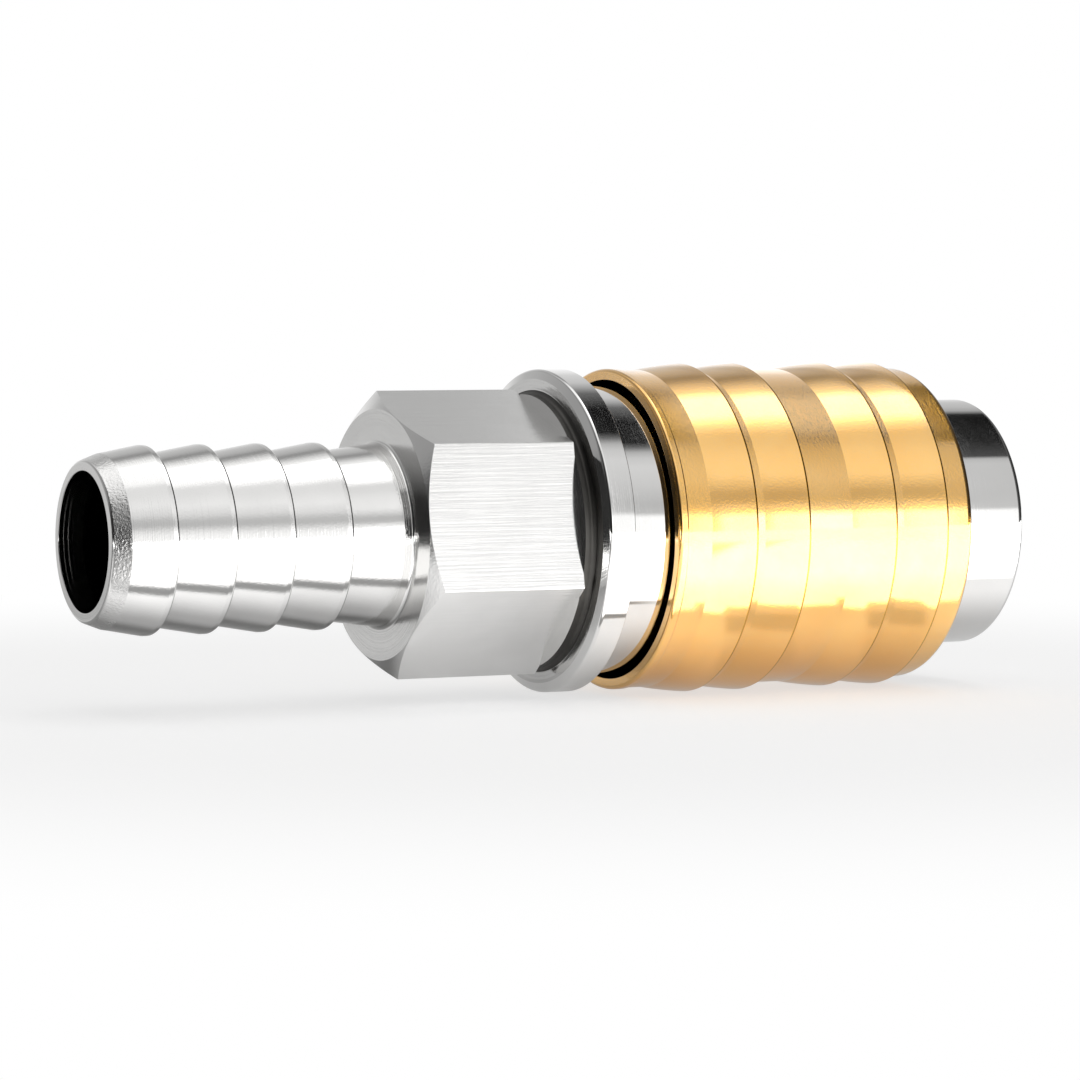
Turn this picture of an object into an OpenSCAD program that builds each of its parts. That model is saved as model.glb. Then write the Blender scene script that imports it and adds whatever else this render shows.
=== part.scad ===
// Pneumatic quick coupler: a barbed hose tail screwed into a body with a ball lock,
// a pull-back release sleeve and a shut-off valve. Lengths are in millimetres.
// The coupler lies along X, with the middle of the hose end at the origin, the plug's
// socket at the +X end and +Z up. Profiles are [x, radius] points turned about X.

/* [Hose tail] */
// Bore that the air flows through
air_bore_d = 10.4; // [9.4:0.1:11]
// Outside diameter just behind the rounded tip
tip_d = 12.1; // [12:0.1:12.4]
// Radius of the tip's rounded outer edge
tip_round = 0.3; // [0.1:0.05:0.4]
// Diameter where the steeper lead-in behind the tip ends
lead_d = 12.9; // [12.6:0.1:13.4]
// Distance from the tip to the end of the lead-in
lead_len = 1.36; // [0.8:0.02:2]
// Diameter at the foot of each barb
barb_root_d = 12.6; // [12.3:0.1:13]
// Diameter over the barbs' crests
barb_crest_d = 14; // [13.6:0.1:15]
// Distance from the tip to the step of the first barb
first_barb_len = 4.85; // [4:0.05:6]
// Distance between the steps of neighbouring barbs
barb_pitch = 4.57; // [4:0.01:6]
// Number of barbs
barb_count = 4; // [2:1:6]
// Length of the cylindrical crest of a barb
crest_land = 0.3; // [0.15:0.05:0.6]
// Radius that rounds the step's edge
crest_round = 0.2; // [0.1:0.02:0.3]
// Length of the neck between the last barb and the hexagon
neck_len = 4.89; // [3:0.01:8]
// Diameter of the neck at the hexagon
neck_d = 13.8; // [13.2:0.1:15]
// Fillet between the neck and the hexagon's face
neck_fillet = 0.3; // [0.1:0.05:0.6]

/* [Hexagon and flange] */
// Width across the hexagon's flats
hex_af = 19; // [17:0.5:21]
// Length of the hexagon
hex_len = 12.3; // [9:0.1:16]
// Angle that a corner of the hexagon leans from straight up
hex_lean = 9.8; // [0:0.1:30]
// Diameter of the turned face at the hexagon's hose end
hex_face_d = 19; // [16.5:0.1:20]
// Angle of the chamfer on the hexagon's corners
hex_chamfer_angle = 30; // [20:1:45]
// Diameter of the turned neck between the hexagon and the flange
relief_d = 20.9; // [18:0.1:22]
// Length of that neck
relief_len = 0.85; // [0.5:0.05:2]
// Diameter of the flange
flange_d = 24.7; // [23.5:0.1:27]
// Length of the flange
flange_len = 2.38; // [1.5:0.02:5]
// Length of the bevel on the flange's hose side
flange_bevel_len = 0.3; // [0.1:0.05:0.6]
// Height of that bevel
flange_bevel_height = 0.72; // [0.3:0.02:1]
// Diameter of the spigot that screws into the body
spigot_d = 16.9; // [16.2:0.1:18]
// Length of the spigot
spigot_len = 6.5; // [5:0.1:7.5]
// Wall of the spigot around the valve spring
spigot_wall = 1.85; // [1.2:0.05:2.2]
// Depth of the well for the valve spring, from the spigot's end
spring_well_depth = 7.5; // [6.5:0.1:9]

/* [Body] */
// Length of the body from the flange to the mouth
body_len = 35.7; // [34:0.1:40]
// Diameter of the body's nose
nose_d = 19.4; // [18.8:0.1:21]
// Length of the thick collar that carries the sleeve's spring
collar_len = 8.5; // [8:0.1:9.5]
// Radial room between the collar and the sleeve
collar_gap = 0.45; // [0.3:0.05:0.7]
// Bore that the plug goes into
plug_bore_d = 12.1; // [11.6:0.1:12.6]
// Chamfer at the mouth of that bore
mouth_chamfer = 0.8; // [0.3:0.1:1.5]
// Radius on the nose's outer edge
nose_round = 0.5; // [0.2:0.1:1]

/* [Ball lock] */
// Number of locking balls
ball_count = 6; // [4:1:6]
// Distance from the mouth to the middle of the balls
ball_depth = 12.2; // [11:0.1:13]
// How far a locked ball stands into the plug's bore
ball_bite = 0.85; // [0.5:0.05:1]
// Room around a ball in its hole
ball_clearance = 0.05; // [0.03:0.01:0.1]
// Wall that keeps a ball from falling into the bore
ball_seat_wall = 0.45; // [0.4:0.05:0.8]

/* [Release sleeve] */
// Distance that the sleeve is pulled back to let the plug go
sleeve_travel = 3.5; // [3:0.1:4]
// Gap that stays between the pulled sleeve and the flange
rim_gap = 0.2; // [0.1:0.05:0.6]
// Radial room for the sleeve's spring
spring_room = 1.8; // [1.6:0.05:2.2]
// Wall of the sleeve between its ribs
sleeve_wall = 0.75; // [0.6:0.05:1.2]
// Height of a rib
rib_height = 0.5; // [0.2:0.05:0.9]
// Length of a rib
rib_len = 3.1; // [2:0.1:3.6]
// Distance between the two ribs of a pair
rib_pitch = 4.55; // [4:0.05:5]
// Distance from the rim to the first rib of the rear pair
rear_ribs_inset = 3.5; // [2:0.1:5]
// Distance from the front edge to the end of the front pair
front_ribs_inset = 2.5; // [1:0.1:3]
// Length of the lip at the rim
lip_len = 0.7; // [0.4:0.05:1.5]
// Height of that lip
lip_height = 0.1; // [0.05:0.05:0.4]
// Length of the recess at the sleeve's front
front_recess_len = 2.43; // [2:0.01:3.5]
// Radius on the sleeve's front edge
front_edge_round = 0.6; // [0.3:0.05:0.7]
// Length of the land behind the balls' holes
land_margin = 1; // [0.6:0.1:2]
// Radial clearance between the sleeve's land and the nose
land_clearance = 0.07; // [0.04:0.01:0.1]
// Thickness of the washer between the spring and the sleeve
washer_t = 0.8; // [0.5:0.05:1.2]

/* [Retaining ring] */
// Thickness of the ring that stops the sleeve
ring_t = 1.2; // [0.8:0.1:1.5]
// Depth of its groove in the nose
ring_groove_depth = 0.8; // [0.5:0.05:1]
// Height of the ring that holds the sleeve's step
ring_hold = 0.31; // [0.2:0.01:0.4]
// Width of the gap in the ring
ring_split = 7; // [4:0.5:10]

/* [Valve] */
// Distance that a plug pushes the valve back
valve_travel = 3.5; // [2.5:0.1:4]
// Length of the bush that holds the valve's seat
bush_len = 5; // [4.5:0.1:5.5]
// Angle between the conical seat and the axis
seat_angle = 32; // [28:1:38]
// Thickness of the valve's rear flange
valve_flange_t = 1.2; // [0.8:0.1:1.8]
// Overhang of that flange past the middle of its seal
valve_flange_rim = 0.8; // [0.6:0.05:1]
// Thickness of the lip in front of the valve's seal
valve_lip_t = 0.8; // [0.5:0.1:1.2]
// Wall of the crown that the plug pushes
crown_wall = 1.2; // [0.8:0.1:1.6]
// Number of windows in the crown
crown_windows = 4; // [3:1:6]
// Width of a window
window_w = 3.2; // [2:0.1:3.6]
// Diameter of the valve's stem
stem_d = 3.8; // [3:0.1:4.4]
// Thickness of the guide's rim and spokes
guide_t = 1.6; // [1:0.1:2]
// Length of the guide's hub
hub_len = 3; // [2.5:0.1:3.5]
// Wall of the hub
hub_wall = 1.05; // [0.8:0.05:1.3]
// Width of the guide's rim
guide_rim_w = 1.1; // [0.8:0.05:1.15]
// Width of a spoke
spoke_w = 1.5; // [1:0.1:2]

/* [Seals] */
// Section of the ring that seals on the plug
plug_seal_section = 1.8; // [1.5:0.05:2]
// How far that ring stands into the plug's bore
seal_squeeze = 0.2; // [0.1:0.05:0.3]
// Section of the ring on the valve
valve_seal_section = 1.5; // [1.2:0.05:1.7]
// Section of the ring between the tail and the body
tail_seal_section = 1.1; // [0.9:0.05:1.3]
// Section of the ring around the bush
bush_seal_section = 0.8; // [0.6:0.05:0.9]

/* [Springs] */
// Wire of the sleeve's spring
sleeve_wire_d = 1; // [0.8:0.05:1.1]
// Wire of the valve's spring
valve_wire_d = 0.9; // [0.7:0.05:1]

/* [Hidden] */
$fn = 72;
// Running clearance of the stem in its guide and of other close fits
fit = 0.05;
// Clearance of pieces that are pressed or screwed together
snug = 0.02;
// Axial room of a piece in its groove
groove_play = 0.1;
// Steps in a rounded edge
round_steps = 5;
// Bores run this far past the faces that they open
past = 1;
// Edge left along the step of a rib
rib_edge = 0.12;
// Radial relief of the plug's bore from the balls back to the bush
bore_relief = 0.25;
// Room that a locked ball keeps above the edge of its seat
ball_seat_room = 0.04;
// Radial room between the retaining ring and the sleeve
ring_room = 0.15;
// Radial room between the valve's crown and the bush
crown_room = 0.25;
// Step between the bush's hole and the chamber behind it
chamber_step = 0.2;
// Wall that stays between the seat's mouth and the bush's outside
seat_edge = 0.2;
// Land in front of the bush's seal groove
bush_land = 1.1;
// Height of the middle of the valve's seal above the crown
valve_seal_height = 0.3;
// Rise of a spring's closed turn, in wires
closed_rise = 1.04;

// Stations of the tail, from the tip at x = 0
last_step_x = first_barb_len + (barb_count - 1) * barb_pitch;
hex_x = last_step_x + neck_len;
hex_end_x = hex_x + hex_len;
flange_x = hex_end_x + relief_len;
joint_x = flange_x + flange_len;
spigot_x = joint_x + spigot_len;
well_x = spigot_x - spring_well_depth;
hex_corner_r = hex_af / 2 / cos(30);
spigot_r = spigot_d / 2;
well_r = spigot_r - spigot_wall;
spigot_chamfer = 0.4;

// Radii of the nose, the collar and the sleeve
nose_r = nose_d / 2;
sleeve_bore_r = nose_r + spring_room;
sleeve_r = sleeve_bore_r + sleeve_wall;
collar_r = sleeve_bore_r - collar_gap;
land_r = nose_r + land_clearance;
shoulder_x = joint_x + collar_len;
mouth_x = joint_x + body_len;
collar_chamfer = 0.15;

// A locked ball fills the nose's wall and stands into the bore by its bite
plug_bore_r = plug_bore_d / 2;
ball_r = (nose_r - plug_bore_r + ball_bite) / 2;
ball_x = mouth_x - ball_depth;
ball_centre_r = nose_r - ball_r;
ball_hole_r = ball_r + ball_clearance;
ball_relief_r = plug_bore_r + bore_relief;
ball_relief_margin = 0.4;
ball_seat_r = ball_relief_r + ball_seat_wall;
ball_seat_depth = ball_centre_r - ball_seat_r - ball_seat_room;
ball_seat_hole_r = sqrt(pow(ball_r, 2) - pow(ball_seat_depth, 2));

// The sleeve's cone lets the balls move out by their bite over the sleeve's travel
cone_slope = ball_bite / sleeve_travel;
cone_angle = atan(cone_slope);
cone_r_at_ball = ball_centre_r + ball_hole_r / cos(cone_angle);
cone_run_out = 0.1;
step_x = ball_x + sleeve_travel + cone_run_out;
cone_start_x = ball_x - (cone_r_at_ball - land_r) / cone_slope;
cone_end_r = cone_r_at_ball + (step_x - ball_x) * cone_slope;
ring_r = cone_end_r + ring_hold;
ring_x = step_x + fit;
recess_r = ring_r + ring_room;
front_x = step_x + front_recess_len;
rim_x = joint_x + sleeve_travel + rim_gap;
land_x = ball_x - ball_hole_r - land_margin;
washer_x = land_x - fit - washer_t;

// Seals, bush and valve, worked out from the balls back to the hose
gland_wall = 0.9;
gland_x = ball_x - ball_hole_r - gland_wall;
plug_seal_r = plug_bore_r - seal_squeeze + plug_seal_section / 2;
bush_front_x = gland_x - plug_seal_section - 2 * groove_play;
bush_x = bush_front_x - bush_len;
bush_hole_r = plug_seal_r + plug_seal_section / 2 + fit;
bush_r = bush_hole_r - snug;
chamber_r = bush_hole_r + chamber_step;
bush_seal_r = bush_hole_r - bush_seal_section / 2 - snug;
bush_groove_r = bush_seal_r - bush_seal_section / 2 - snug;
bush_groove_w = bush_seal_section + 2 * groove_play;
bush_groove_x = bush_front_x - bush_land - bush_groove_w;
bush_bore_r = ball_relief_r;
seat_mouth_r = bush_r - seat_edge;
seat_end_x = bush_x + (seat_mouth_r - bush_bore_r) / tan(seat_angle);
crown_r = bush_bore_r - crown_room;
valve_seal_r = crown_r + valve_seal_height;
seat_r_at_seal = valve_seal_r + (valve_seal_section / 2 + fit) / cos(seat_angle);
valve_seal_x = bush_x + (seat_mouth_r - seat_r_at_seal) / tan(seat_angle);
valve_groove_half = valve_seal_section / 2 + fit;
valve_groove_r = valve_seal_r - valve_seal_section / 2 - snug;
valve_x = valve_seal_x - valve_groove_half - valve_flange_t;
valve_flange_r = valve_seal_r + valve_flange_rim;
crown_x = valve_seal_x + valve_groove_half + valve_lip_t;
crown_front_x = bush_front_x - groove_play;
stem_r = stem_d / 2;
// The stem ends inside the hub of its guide and slides back through it
stem_x = well_x + hub_len / 3;
tail_seal_r = spigot_r + snug + tail_seal_section / 2;
tail_recess_r = tail_seal_r + tail_seal_section / 2 + fit;

// Points of an arc about [x, r], from angle a to angle b
function arc(x, r, radius, a, b) =
    [for (i = [0:round_steps])
        let (t = a + (b - a) * i / round_steps)
        [x + radius * cos(t), r + radius * sin(t)]];

// A profile of [x, radius] points turned about the X axis
module turned(profile) {
    rotate([0, 90, 0]) rotate_extrude() polygon([for (p = profile) [p[1], p[0]]]);
}

// A round bore along X between two stations
module bore(from_x, to_x, r) {
    translate([from_x, 0, 0]) rotate([0, 90, 0]) cylinder(r = r, h = to_x - from_x);
}

// A bore that widens by a 45 degree chamfer up to the station x_open
module chamfer_bore(from_x, x_open, r) {
    translate([from_x, 0, 0]) rotate([0, 90, 0])
        cylinder(r1 = r, r2 = r + x_open - from_x, h = x_open - from_x);
}

// A ring of round section about X
module seal_ring(x, r, section) {
    translate([x, 0, 0]) rotate([0, 90, 0]) rotate_extrude()
        translate([r, 0]) circle(d = section);
}

// A flat ring about X
module flat_ring(x, t, inner_r, outer_r) {
    difference() {
        bore(x, x + t, outer_r);
        bore(x - past, x + t + past, inner_r);
    }
}

// Places a child on the circle of balls, turned about X from the top
module at_ball(i) {
    rotate([(i - 1) * 360 / ball_count, 0, 0]) translate([ball_x, 0, 0]) children();
}

// Height along a compression spring after a number of turns, closed at both ends
function coil_rise(turn, turns, wire, length) =
    let (closed = wire * closed_rise, open = (length - wire - 2 * closed) / (turns - 2))
    turn < 1 ? turn * closed
        : turn > turns - 1 ? length - wire - (turns - turn) * closed
        : closed + (turn - 1) * open;

// Most turns that fit when a spring is pressed to its shortest
function coil_turns(length, travel, wire) = floor((length - travel) / wire) - 1;

// A compression spring along X, swept from rings of points around its wire
module coil_spring(from_x, to_x, mean_r, wire, turns) {
    sides = 8;
    steps = 20;
    rings = turns * steps;
    length = to_x - from_x;
    points = [
        for (i = [0:rings])
            let (turn = i / steps, a = turn * 360, x = coil_rise(turn, turns, wire, length))
            for (j = [0:sides - 1])
                let (b = j * 360 / sides, r = mean_r + wire / 2 * cos(b))
                [from_x + wire / 2 + x + wire / 2 * sin(b), -r * sin(a), r * cos(a)]];
    walls = [
        for (i = [0:rings - 1], j = [0:sides - 1])
            let (k = (j + 1) % sides, p = i * sides, q = p + sides)
            each [[p + j, q + j, q + k], [p + j, q + k, p + k]]];
    start = [for (j = [0:sides - 1]) j];
    end = [for (j = [sides - 1:-1:0]) rings * sides + j];
    polyhedron(points, concat(walls, [start, end]));
}

// Outline of one barb: a cone up to its crest, then a steep rounded step
function barb(step_x, crest_r, root_r) = concat(
    [[step_x - crest_land - crest_round, crest_r]],
    arc(step_x - crest_round, crest_r - crest_round, crest_round, 90, 0),
    [[step_x, root_r]]);

module hose_tail() {
    crest_r = barb_crest_d / 2;
    root_r = barb_root_d / 2;
    core_r = relief_d / 4;
    barbs = [for (i = [0:barb_count - 1])
        each barb(first_barb_len + i * barb_pitch, crest_r, root_r)];
    neck = concat(
        [[hex_x - neck_fillet, neck_d / 2]],
        arc(hex_x - neck_fillet, neck_d / 2 + neck_fillet, neck_fillet, -90, 0));
    color("gainsboro") difference() {
        union() {
            turned(concat(
                [[0, 0]],
                arc(tip_round, tip_d / 2 - tip_round, tip_round, 180, 90),
                [[lead_len, lead_d / 2]],
                barbs, neck, [[hex_x + past, neck_d / 2], [hex_x + past, 0]]));
            hexagon();
            turned([
                [hex_end_x - past, 0], [hex_end_x - past, core_r],
                [hex_end_x, core_r], [hex_end_x, relief_d / 2],
                [flange_x, relief_d / 2],
                [flange_x, flange_d / 2 - flange_bevel_height],
                [flange_x + flange_bevel_len, flange_d / 2],
                [joint_x, flange_d / 2], [joint_x, spigot_r],
                [spigot_x - spigot_chamfer, spigot_r],
                [spigot_x, spigot_r - spigot_chamfer], [spigot_x, 0]]);
        }
        bore(-past, spigot_x + past, air_bore_d / 2);
        bore(well_x, spigot_x + past, well_r);
    }
}

// The spanner hexagon, with a turned face and chamfered corners at the hose end
module hexagon() {
    chamfer_len = (hex_corner_r + past - hex_face_d / 2) * tan(hex_chamfer_angle);
    intersection() {
        rotate([-hex_lean, 0, 0]) translate([hex_x, 0, 0]) rotate([0, 90, 0])
            cylinder(r = hex_corner_r, h = hex_len, $fn = 6);
        turned([
            [hex_x, 0], [hex_x, hex_face_d / 2],
            [hex_x + chamfer_len, hex_corner_r + past],
            [hex_end_x + past, hex_corner_r + past], [hex_end_x + past, 0]]);
    }
}

module tail_seal() {
    color("dimgray") seal_ring(joint_x + tail_seal_section / 2 + fit, tail_seal_r, tail_seal_section);
}

module coupler_body() {
    recess_len = tail_seal_section + 2 * groove_play;
    color("silver") difference() {
        turned(concat(
            [[joint_x, 0], [joint_x, collar_r - collar_chamfer],
             [joint_x + collar_chamfer, collar_r], [shoulder_x, collar_r],
             [shoulder_x, nose_r],
             [ring_x - fit, nose_r], [ring_x - fit, nose_r - ring_groove_depth],
             [ring_x + ring_t + fit, nose_r - ring_groove_depth],
             [ring_x + ring_t + fit, nose_r]],
            arc(mouth_x - nose_round, nose_r - nose_round, nose_round, 90, 0),
            [[mouth_x, 0]]));
        bore(joint_x - past, joint_x + recess_len, tail_recess_r);
        bore(joint_x - past, spigot_x + fit, spigot_r + snug);
        bore(spigot_x, bush_x, chamber_r);
        bore(bush_x - fit, gland_x, bush_hole_r);
        bore(gland_x - past, ball_x + ball_hole_r + ball_relief_margin, ball_relief_r);
        bore(ball_x, mouth_x + past, plug_bore_r);
        chamfer_bore(mouth_x - mouth_chamfer, mouth_x + past, plug_bore_r);
        for (i = [1:ball_count]) at_ball(i) {
            cylinder(r = ball_seat_hole_r, h = nose_r);
            translate([0, 0, ball_seat_r]) cylinder(r = ball_hole_r, h = nose_r);
        }
    }
}

module seat_bush() {
    edge = 0.2;
    color("goldenrod") difference() {
        turned([
            [bush_x, 0], [bush_x, bush_r], [bush_groove_x, bush_r],
            [bush_groove_x, bush_groove_r],
            [bush_groove_x + bush_groove_w, bush_groove_r],
            [bush_groove_x + bush_groove_w, bush_r],
            [bush_front_x - edge, bush_r], [bush_front_x, bush_r - edge],
            [bush_front_x, 0]]);
        bore(bush_x - past, bush_front_x + past, bush_bore_r);
        turned([
            [bush_x - past, 0], [bush_x - past, seat_mouth_r], [bush_x, seat_mouth_r],
            [seat_end_x, bush_bore_r], [seat_end_x, 0]]);
    }
}

module bush_seal() {
    color("dimgray") seal_ring(bush_groove_x + bush_groove_w / 2, bush_seal_r, bush_seal_section);
}

module plug_seal() {
    color("dimgray") seal_ring(gland_x - plug_seal_section / 2 - groove_play, plug_seal_r, plug_seal_section);
}

// A flat split ring in the nose's groove, which stops the sleeve's step
module retaining_ring() {
    color("slategray") difference() {
        flat_ring(ring_x, ring_t, nose_r - ring_groove_depth + fit, ring_r);
        translate([ring_x - past, -ring_split / 2, -ring_r - past])
            cube([ring_t + 2 * past, ring_split, ring_r + past]);
    }
}

// A spider in the tail's well: it guides the valve's stem and carries its spring
module valve_guide() {
    hub_r = stem_r + fit + hub_wall;
    rim_r = well_r - fit;
    color("whitesmoke") difference() {
        union() {
            flat_ring(well_x, guide_t, rim_r - guide_rim_w, rim_r);
            bore(well_x, well_x + hub_len, hub_r);
            for (a = [0:120:240]) rotate([a, 0, 0])
                translate([well_x, -spoke_w / 2, 0])
                    cube([guide_t, spoke_w, rim_r - guide_rim_w / 2]);
        }
        bore(well_x - past, well_x + hub_len + past, stem_r + fit);
    }
}

module valve_spring() {
    from_x = well_x + guide_t + snug;
    to_x = valve_x - snug;
    turns = coil_turns(to_x - from_x, valve_travel, valve_wire_d);
    color("lightsteelblue")
        coil_spring(from_x, to_x, well_r - fit - guide_rim_w / 2, valve_wire_d, turns);
}

// The valve: a sealing disc with a stem behind it and a crown that the plug pushes
module valve_poppet() {
    groove_x = valve_seal_x - valve_groove_half;
    color("darkgoldenrod") difference() {
        turned([
            [stem_x, 0], [stem_x, stem_r], [valve_x, stem_r],
            [valve_x, valve_flange_r], [groove_x, valve_flange_r],
            [groove_x, valve_groove_r], [groove_x + 2 * valve_groove_half, valve_groove_r],
            [groove_x + 2 * valve_groove_half, crown_r], [crown_front_x, crown_r],
            [crown_front_x, 0]]);
        bore(crown_x, crown_front_x + past, crown_r - crown_wall);
        for (i = [0:crown_windows - 1]) rotate([i * 360 / crown_windows, 0, 0])
            translate([crown_x, -window_w / 2, 0])
                cube([crown_front_x - crown_x + past, window_w, crown_r + past]);
    }
}

module valve_seal() {
    color("dimgray") seal_ring(valve_seal_x, valve_seal_r, valve_seal_section);
}

module sleeve_spring() {
    from_x = shoulder_x + snug;
    to_x = washer_x - snug;
    turns = coil_turns(to_x - from_x, sleeve_travel, sleeve_wire_d);
    color("lightsteelblue")
        coil_spring(from_x, to_x, (nose_r + sleeve_bore_r) / 2, sleeve_wire_d, turns);
}

module spring_washer() {
    color("lightgray") flat_ring(washer_x, washer_t, nose_r + 2 * fit, sleeve_bore_r - 3 * fit);
}

// Outline of one rib: it swells gently towards the mouth and ends in a steep step
function rib(x) =
    let (swell = rib_len - rib_edge,
         r = (pow(swell, 2) + pow(rib_height, 2)) / (2 * rib_height),
         sweep = asin(swell / r))
    concat(
        arc(x + swell, sleeve_r + rib_height - r, r, 90 + sweep, 90),
        [[x + rib_len, sleeve_r + rib_height - rib_edge / 2], [x + rib_len, sleeve_r]]);

module release_sleeve() {
    lip_r = sleeve_r + lip_height;
    lip_round = 0.3;
    front_ribs_x = front_x - front_ribs_inset - rib_pitch - rib_len;
    outline = concat(
        arc(rim_x + lip_round, lip_r - lip_round, lip_round, 180, 90),
        [[rim_x + lip_len, lip_r], [rim_x + lip_len + lip_height, sleeve_r]],
        rib(rim_x + rear_ribs_inset), rib(rim_x + rear_ribs_inset + rib_pitch),
        rib(front_ribs_x), rib(front_ribs_x + rib_pitch),
        arc(front_x - front_edge_round, sleeve_r - front_edge_round, front_edge_round, 90, 0));
    inside = [
        [front_x, recess_r], [step_x, recess_r], [step_x, cone_end_r],
        [cone_start_x, land_r], [land_x, land_r], [land_x, sleeve_bore_r],
        [rim_x, sleeve_bore_r]];
    color("goldenrod") turned(concat(outline, inside));
}

module locking_ball(i) {
    color("lightgray") at_ball(i) translate([0, 0, ball_centre_r]) sphere(r = ball_r);
}

hose_tail();
tail_seal();
coupler_body();
seat_bush();
bush_seal();
plug_seal();
retaining_ring();
valve_guide();
valve_spring();
valve_poppet();
valve_seal();
sleeve_spring();
spring_washer();
release_sleeve();
for (i = [1:ball_count])
    locking_ball(i);
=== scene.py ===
"""Looks of a pneumatic quick coupler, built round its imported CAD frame.

Sizes are in millimetres, as in the part's source, and become metres only when a mesh is made. The
coupler lies along X with its hose end at the origin. A profile is a list of [x, radius] corners
that is walked with the outside on its left: along the outer skin towards +X, back through the bore.
A size whose name ends in r is a radius, and one whose name ends in x is a place along the axis.
"""

import logging
import math
from collections.abc import Sequence
from dataclasses import dataclass, field, replace
from enum import Enum, IntEnum

import bpy
import numpy as np
from mathutils import Matrix, Vector


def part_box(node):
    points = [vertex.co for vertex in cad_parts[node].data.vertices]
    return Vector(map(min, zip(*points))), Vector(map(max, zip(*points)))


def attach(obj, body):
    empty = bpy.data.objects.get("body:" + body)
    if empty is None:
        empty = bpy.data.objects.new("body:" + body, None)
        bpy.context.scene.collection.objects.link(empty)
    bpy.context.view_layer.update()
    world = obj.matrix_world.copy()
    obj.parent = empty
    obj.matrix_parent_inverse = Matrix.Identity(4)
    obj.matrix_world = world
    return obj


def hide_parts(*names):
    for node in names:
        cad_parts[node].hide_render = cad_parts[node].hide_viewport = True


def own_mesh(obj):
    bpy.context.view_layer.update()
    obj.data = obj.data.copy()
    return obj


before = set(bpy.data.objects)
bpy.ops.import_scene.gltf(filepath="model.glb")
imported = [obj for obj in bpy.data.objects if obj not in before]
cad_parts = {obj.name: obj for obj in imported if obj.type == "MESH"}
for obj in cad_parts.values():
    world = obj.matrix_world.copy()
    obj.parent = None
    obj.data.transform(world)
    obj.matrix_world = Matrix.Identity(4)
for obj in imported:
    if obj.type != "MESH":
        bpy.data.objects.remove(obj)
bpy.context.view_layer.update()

Array = np.ndarray
Corner = tuple[float, ...]
MM = 0.001  # metres in a millimetre
TINY = 1e-6  # what counts as no distance
SMOOTH = -1.0  # a corner's radius where its two bands share one normal
ARC_STEP = 0.16  # radians between the points of a rounded corner
AXIS = np.array([1.0, 0, 0])
log = logging.getLogger("coupler")


# Shapes


@dataclass(frozen=True)
class Profile:
    """Points of a closed outline with the normals of the bands before and after each point."""

    points: Array
    before: Array
    after: Array


def left_of(direction: Array) -> Array:
    """Returns the direction turned a quarter turn to the left."""
    return np.stack([-direction[..., 1], direction[..., 0]], axis=-1)


def profile(corners: Sequence[Corner]) -> Profile:
    """Rounds the corners of a closed outline.

    A corner's edges meet it along the unit directions u and v. With a radius, an arc touches both
    edges at the distance radius * tan(half the turn), and its normal turns evenly from the left of
    u to the left of v. With the radius SMOOTH, both bands share the mean normal.

    Args:
        corners: (x, r) or (x, r, radius) in millimetres.

    Returns:
        The outline's points and normals.
    """
    at = np.array([c[:2] for c in corners], float)
    radii = [c[2] if len(c) > 2 else 0.0 for c in corners]
    step = np.roll(at, -1, axis=0) - at
    step /= np.linalg.norm(step, axis=1, keepdims=True)
    points, before, after = [], [], []
    for here, u, v, radius in zip(at, np.roll(step, 1, axis=0), step, radii):
        n_in, n_out = left_of(u), left_of(v)
        turn = math.atan2(u[0] * v[1] - u[1] * v[0], float(u @ v))
        if radius == SMOOTH:
            mean = (n_in + n_out) / np.linalg.norm(n_in + n_out)
            run = (here[None], mean[None], mean[None])
        elif radius > 0 and abs(turn) > 1e-4:
            side = math.copysign(1.0, turn)
            start = here - u * radius * math.tan(abs(turn) / 2)
            a = np.linspace(0, turn, max(4, round(abs(turn) / ARC_STEP)))[:, None]
            normal = n_in * np.cos(a) + left_of(n_in) * np.sin(a)
            run = (start + side * n_in * radius - side * normal * radius, normal, normal)
        else:
            run = (here[None], n_in[None], n_out[None])
        for kept, new in zip((points, before, after), run):
            kept.append(new)
    return Profile(*(np.concatenate(k) for k in (points, before, after)))


def ring_profile(x: float, r: float, section: float, count: int = 28) -> Profile:
    """Profile of a round section: a circle of radius section / 2 about [x, r].

    Args:
        x: place of the section's middle along the axis.
        r: its distance from the axis.
        section: diameter of the section.
        count: number of points.

    Returns:
        The profile.
    """
    a = -full_circle(count)
    normal = np.stack([np.cos(a), np.sin(a)], axis=1)
    return Profile(np.array([x, r]) + normal * section / 2, normal, normal)


@dataclass(frozen=True)
class Surface:
    """Vertices in millimetres, polygons by vertex, a normal for each polygon's corner, and slots."""

    vertices: Array
    polygons: list[Array]
    normals: list[Array]
    slots: list[Array]

    def __add__(self, other: "Surface") -> "Surface":
        """Joins two surfaces into one.

        Args:
            other: the surface whose vertices and polygons come last.

        Returns:
            Both surfaces as one.
        """
        moved = [p + len(self.vertices) for p in other.polygons]
        return Surface(
            np.concatenate([self.vertices, other.vertices]),
            self.polygons + moved,
            self.normals + other.normals,
            self.slots + other.slots,
        )

    def turned(self, matrix: Matrix) -> "Surface":
        """Moves and turns the surface: a vertex v becomes R v + t, and a normal n becomes R n.

        Args:
            matrix: a rigid 4x4 matrix in millimetres.

        Returns:
            The moved surface.
        """
        m = np.array(matrix, float)
        return Surface(
            self.vertices @ m[:3, :3].T + m[:3, 3],
            self.polygons,
            [n @ m[:3, :3].T for n in self.normals],
            self.slots,
        )


def around(angles: Array) -> Array:
    """Directions from the axis at angles that start at +Z and turn towards -Y."""
    return np.stack([np.zeros_like(angles), -np.sin(angles), np.cos(angles)], axis=-1)


def full_circle(count: int) -> Array:
    """Even angles round the axis, without the last one."""
    return np.linspace(0, 2 * math.pi, count, endpoint=False)


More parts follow.
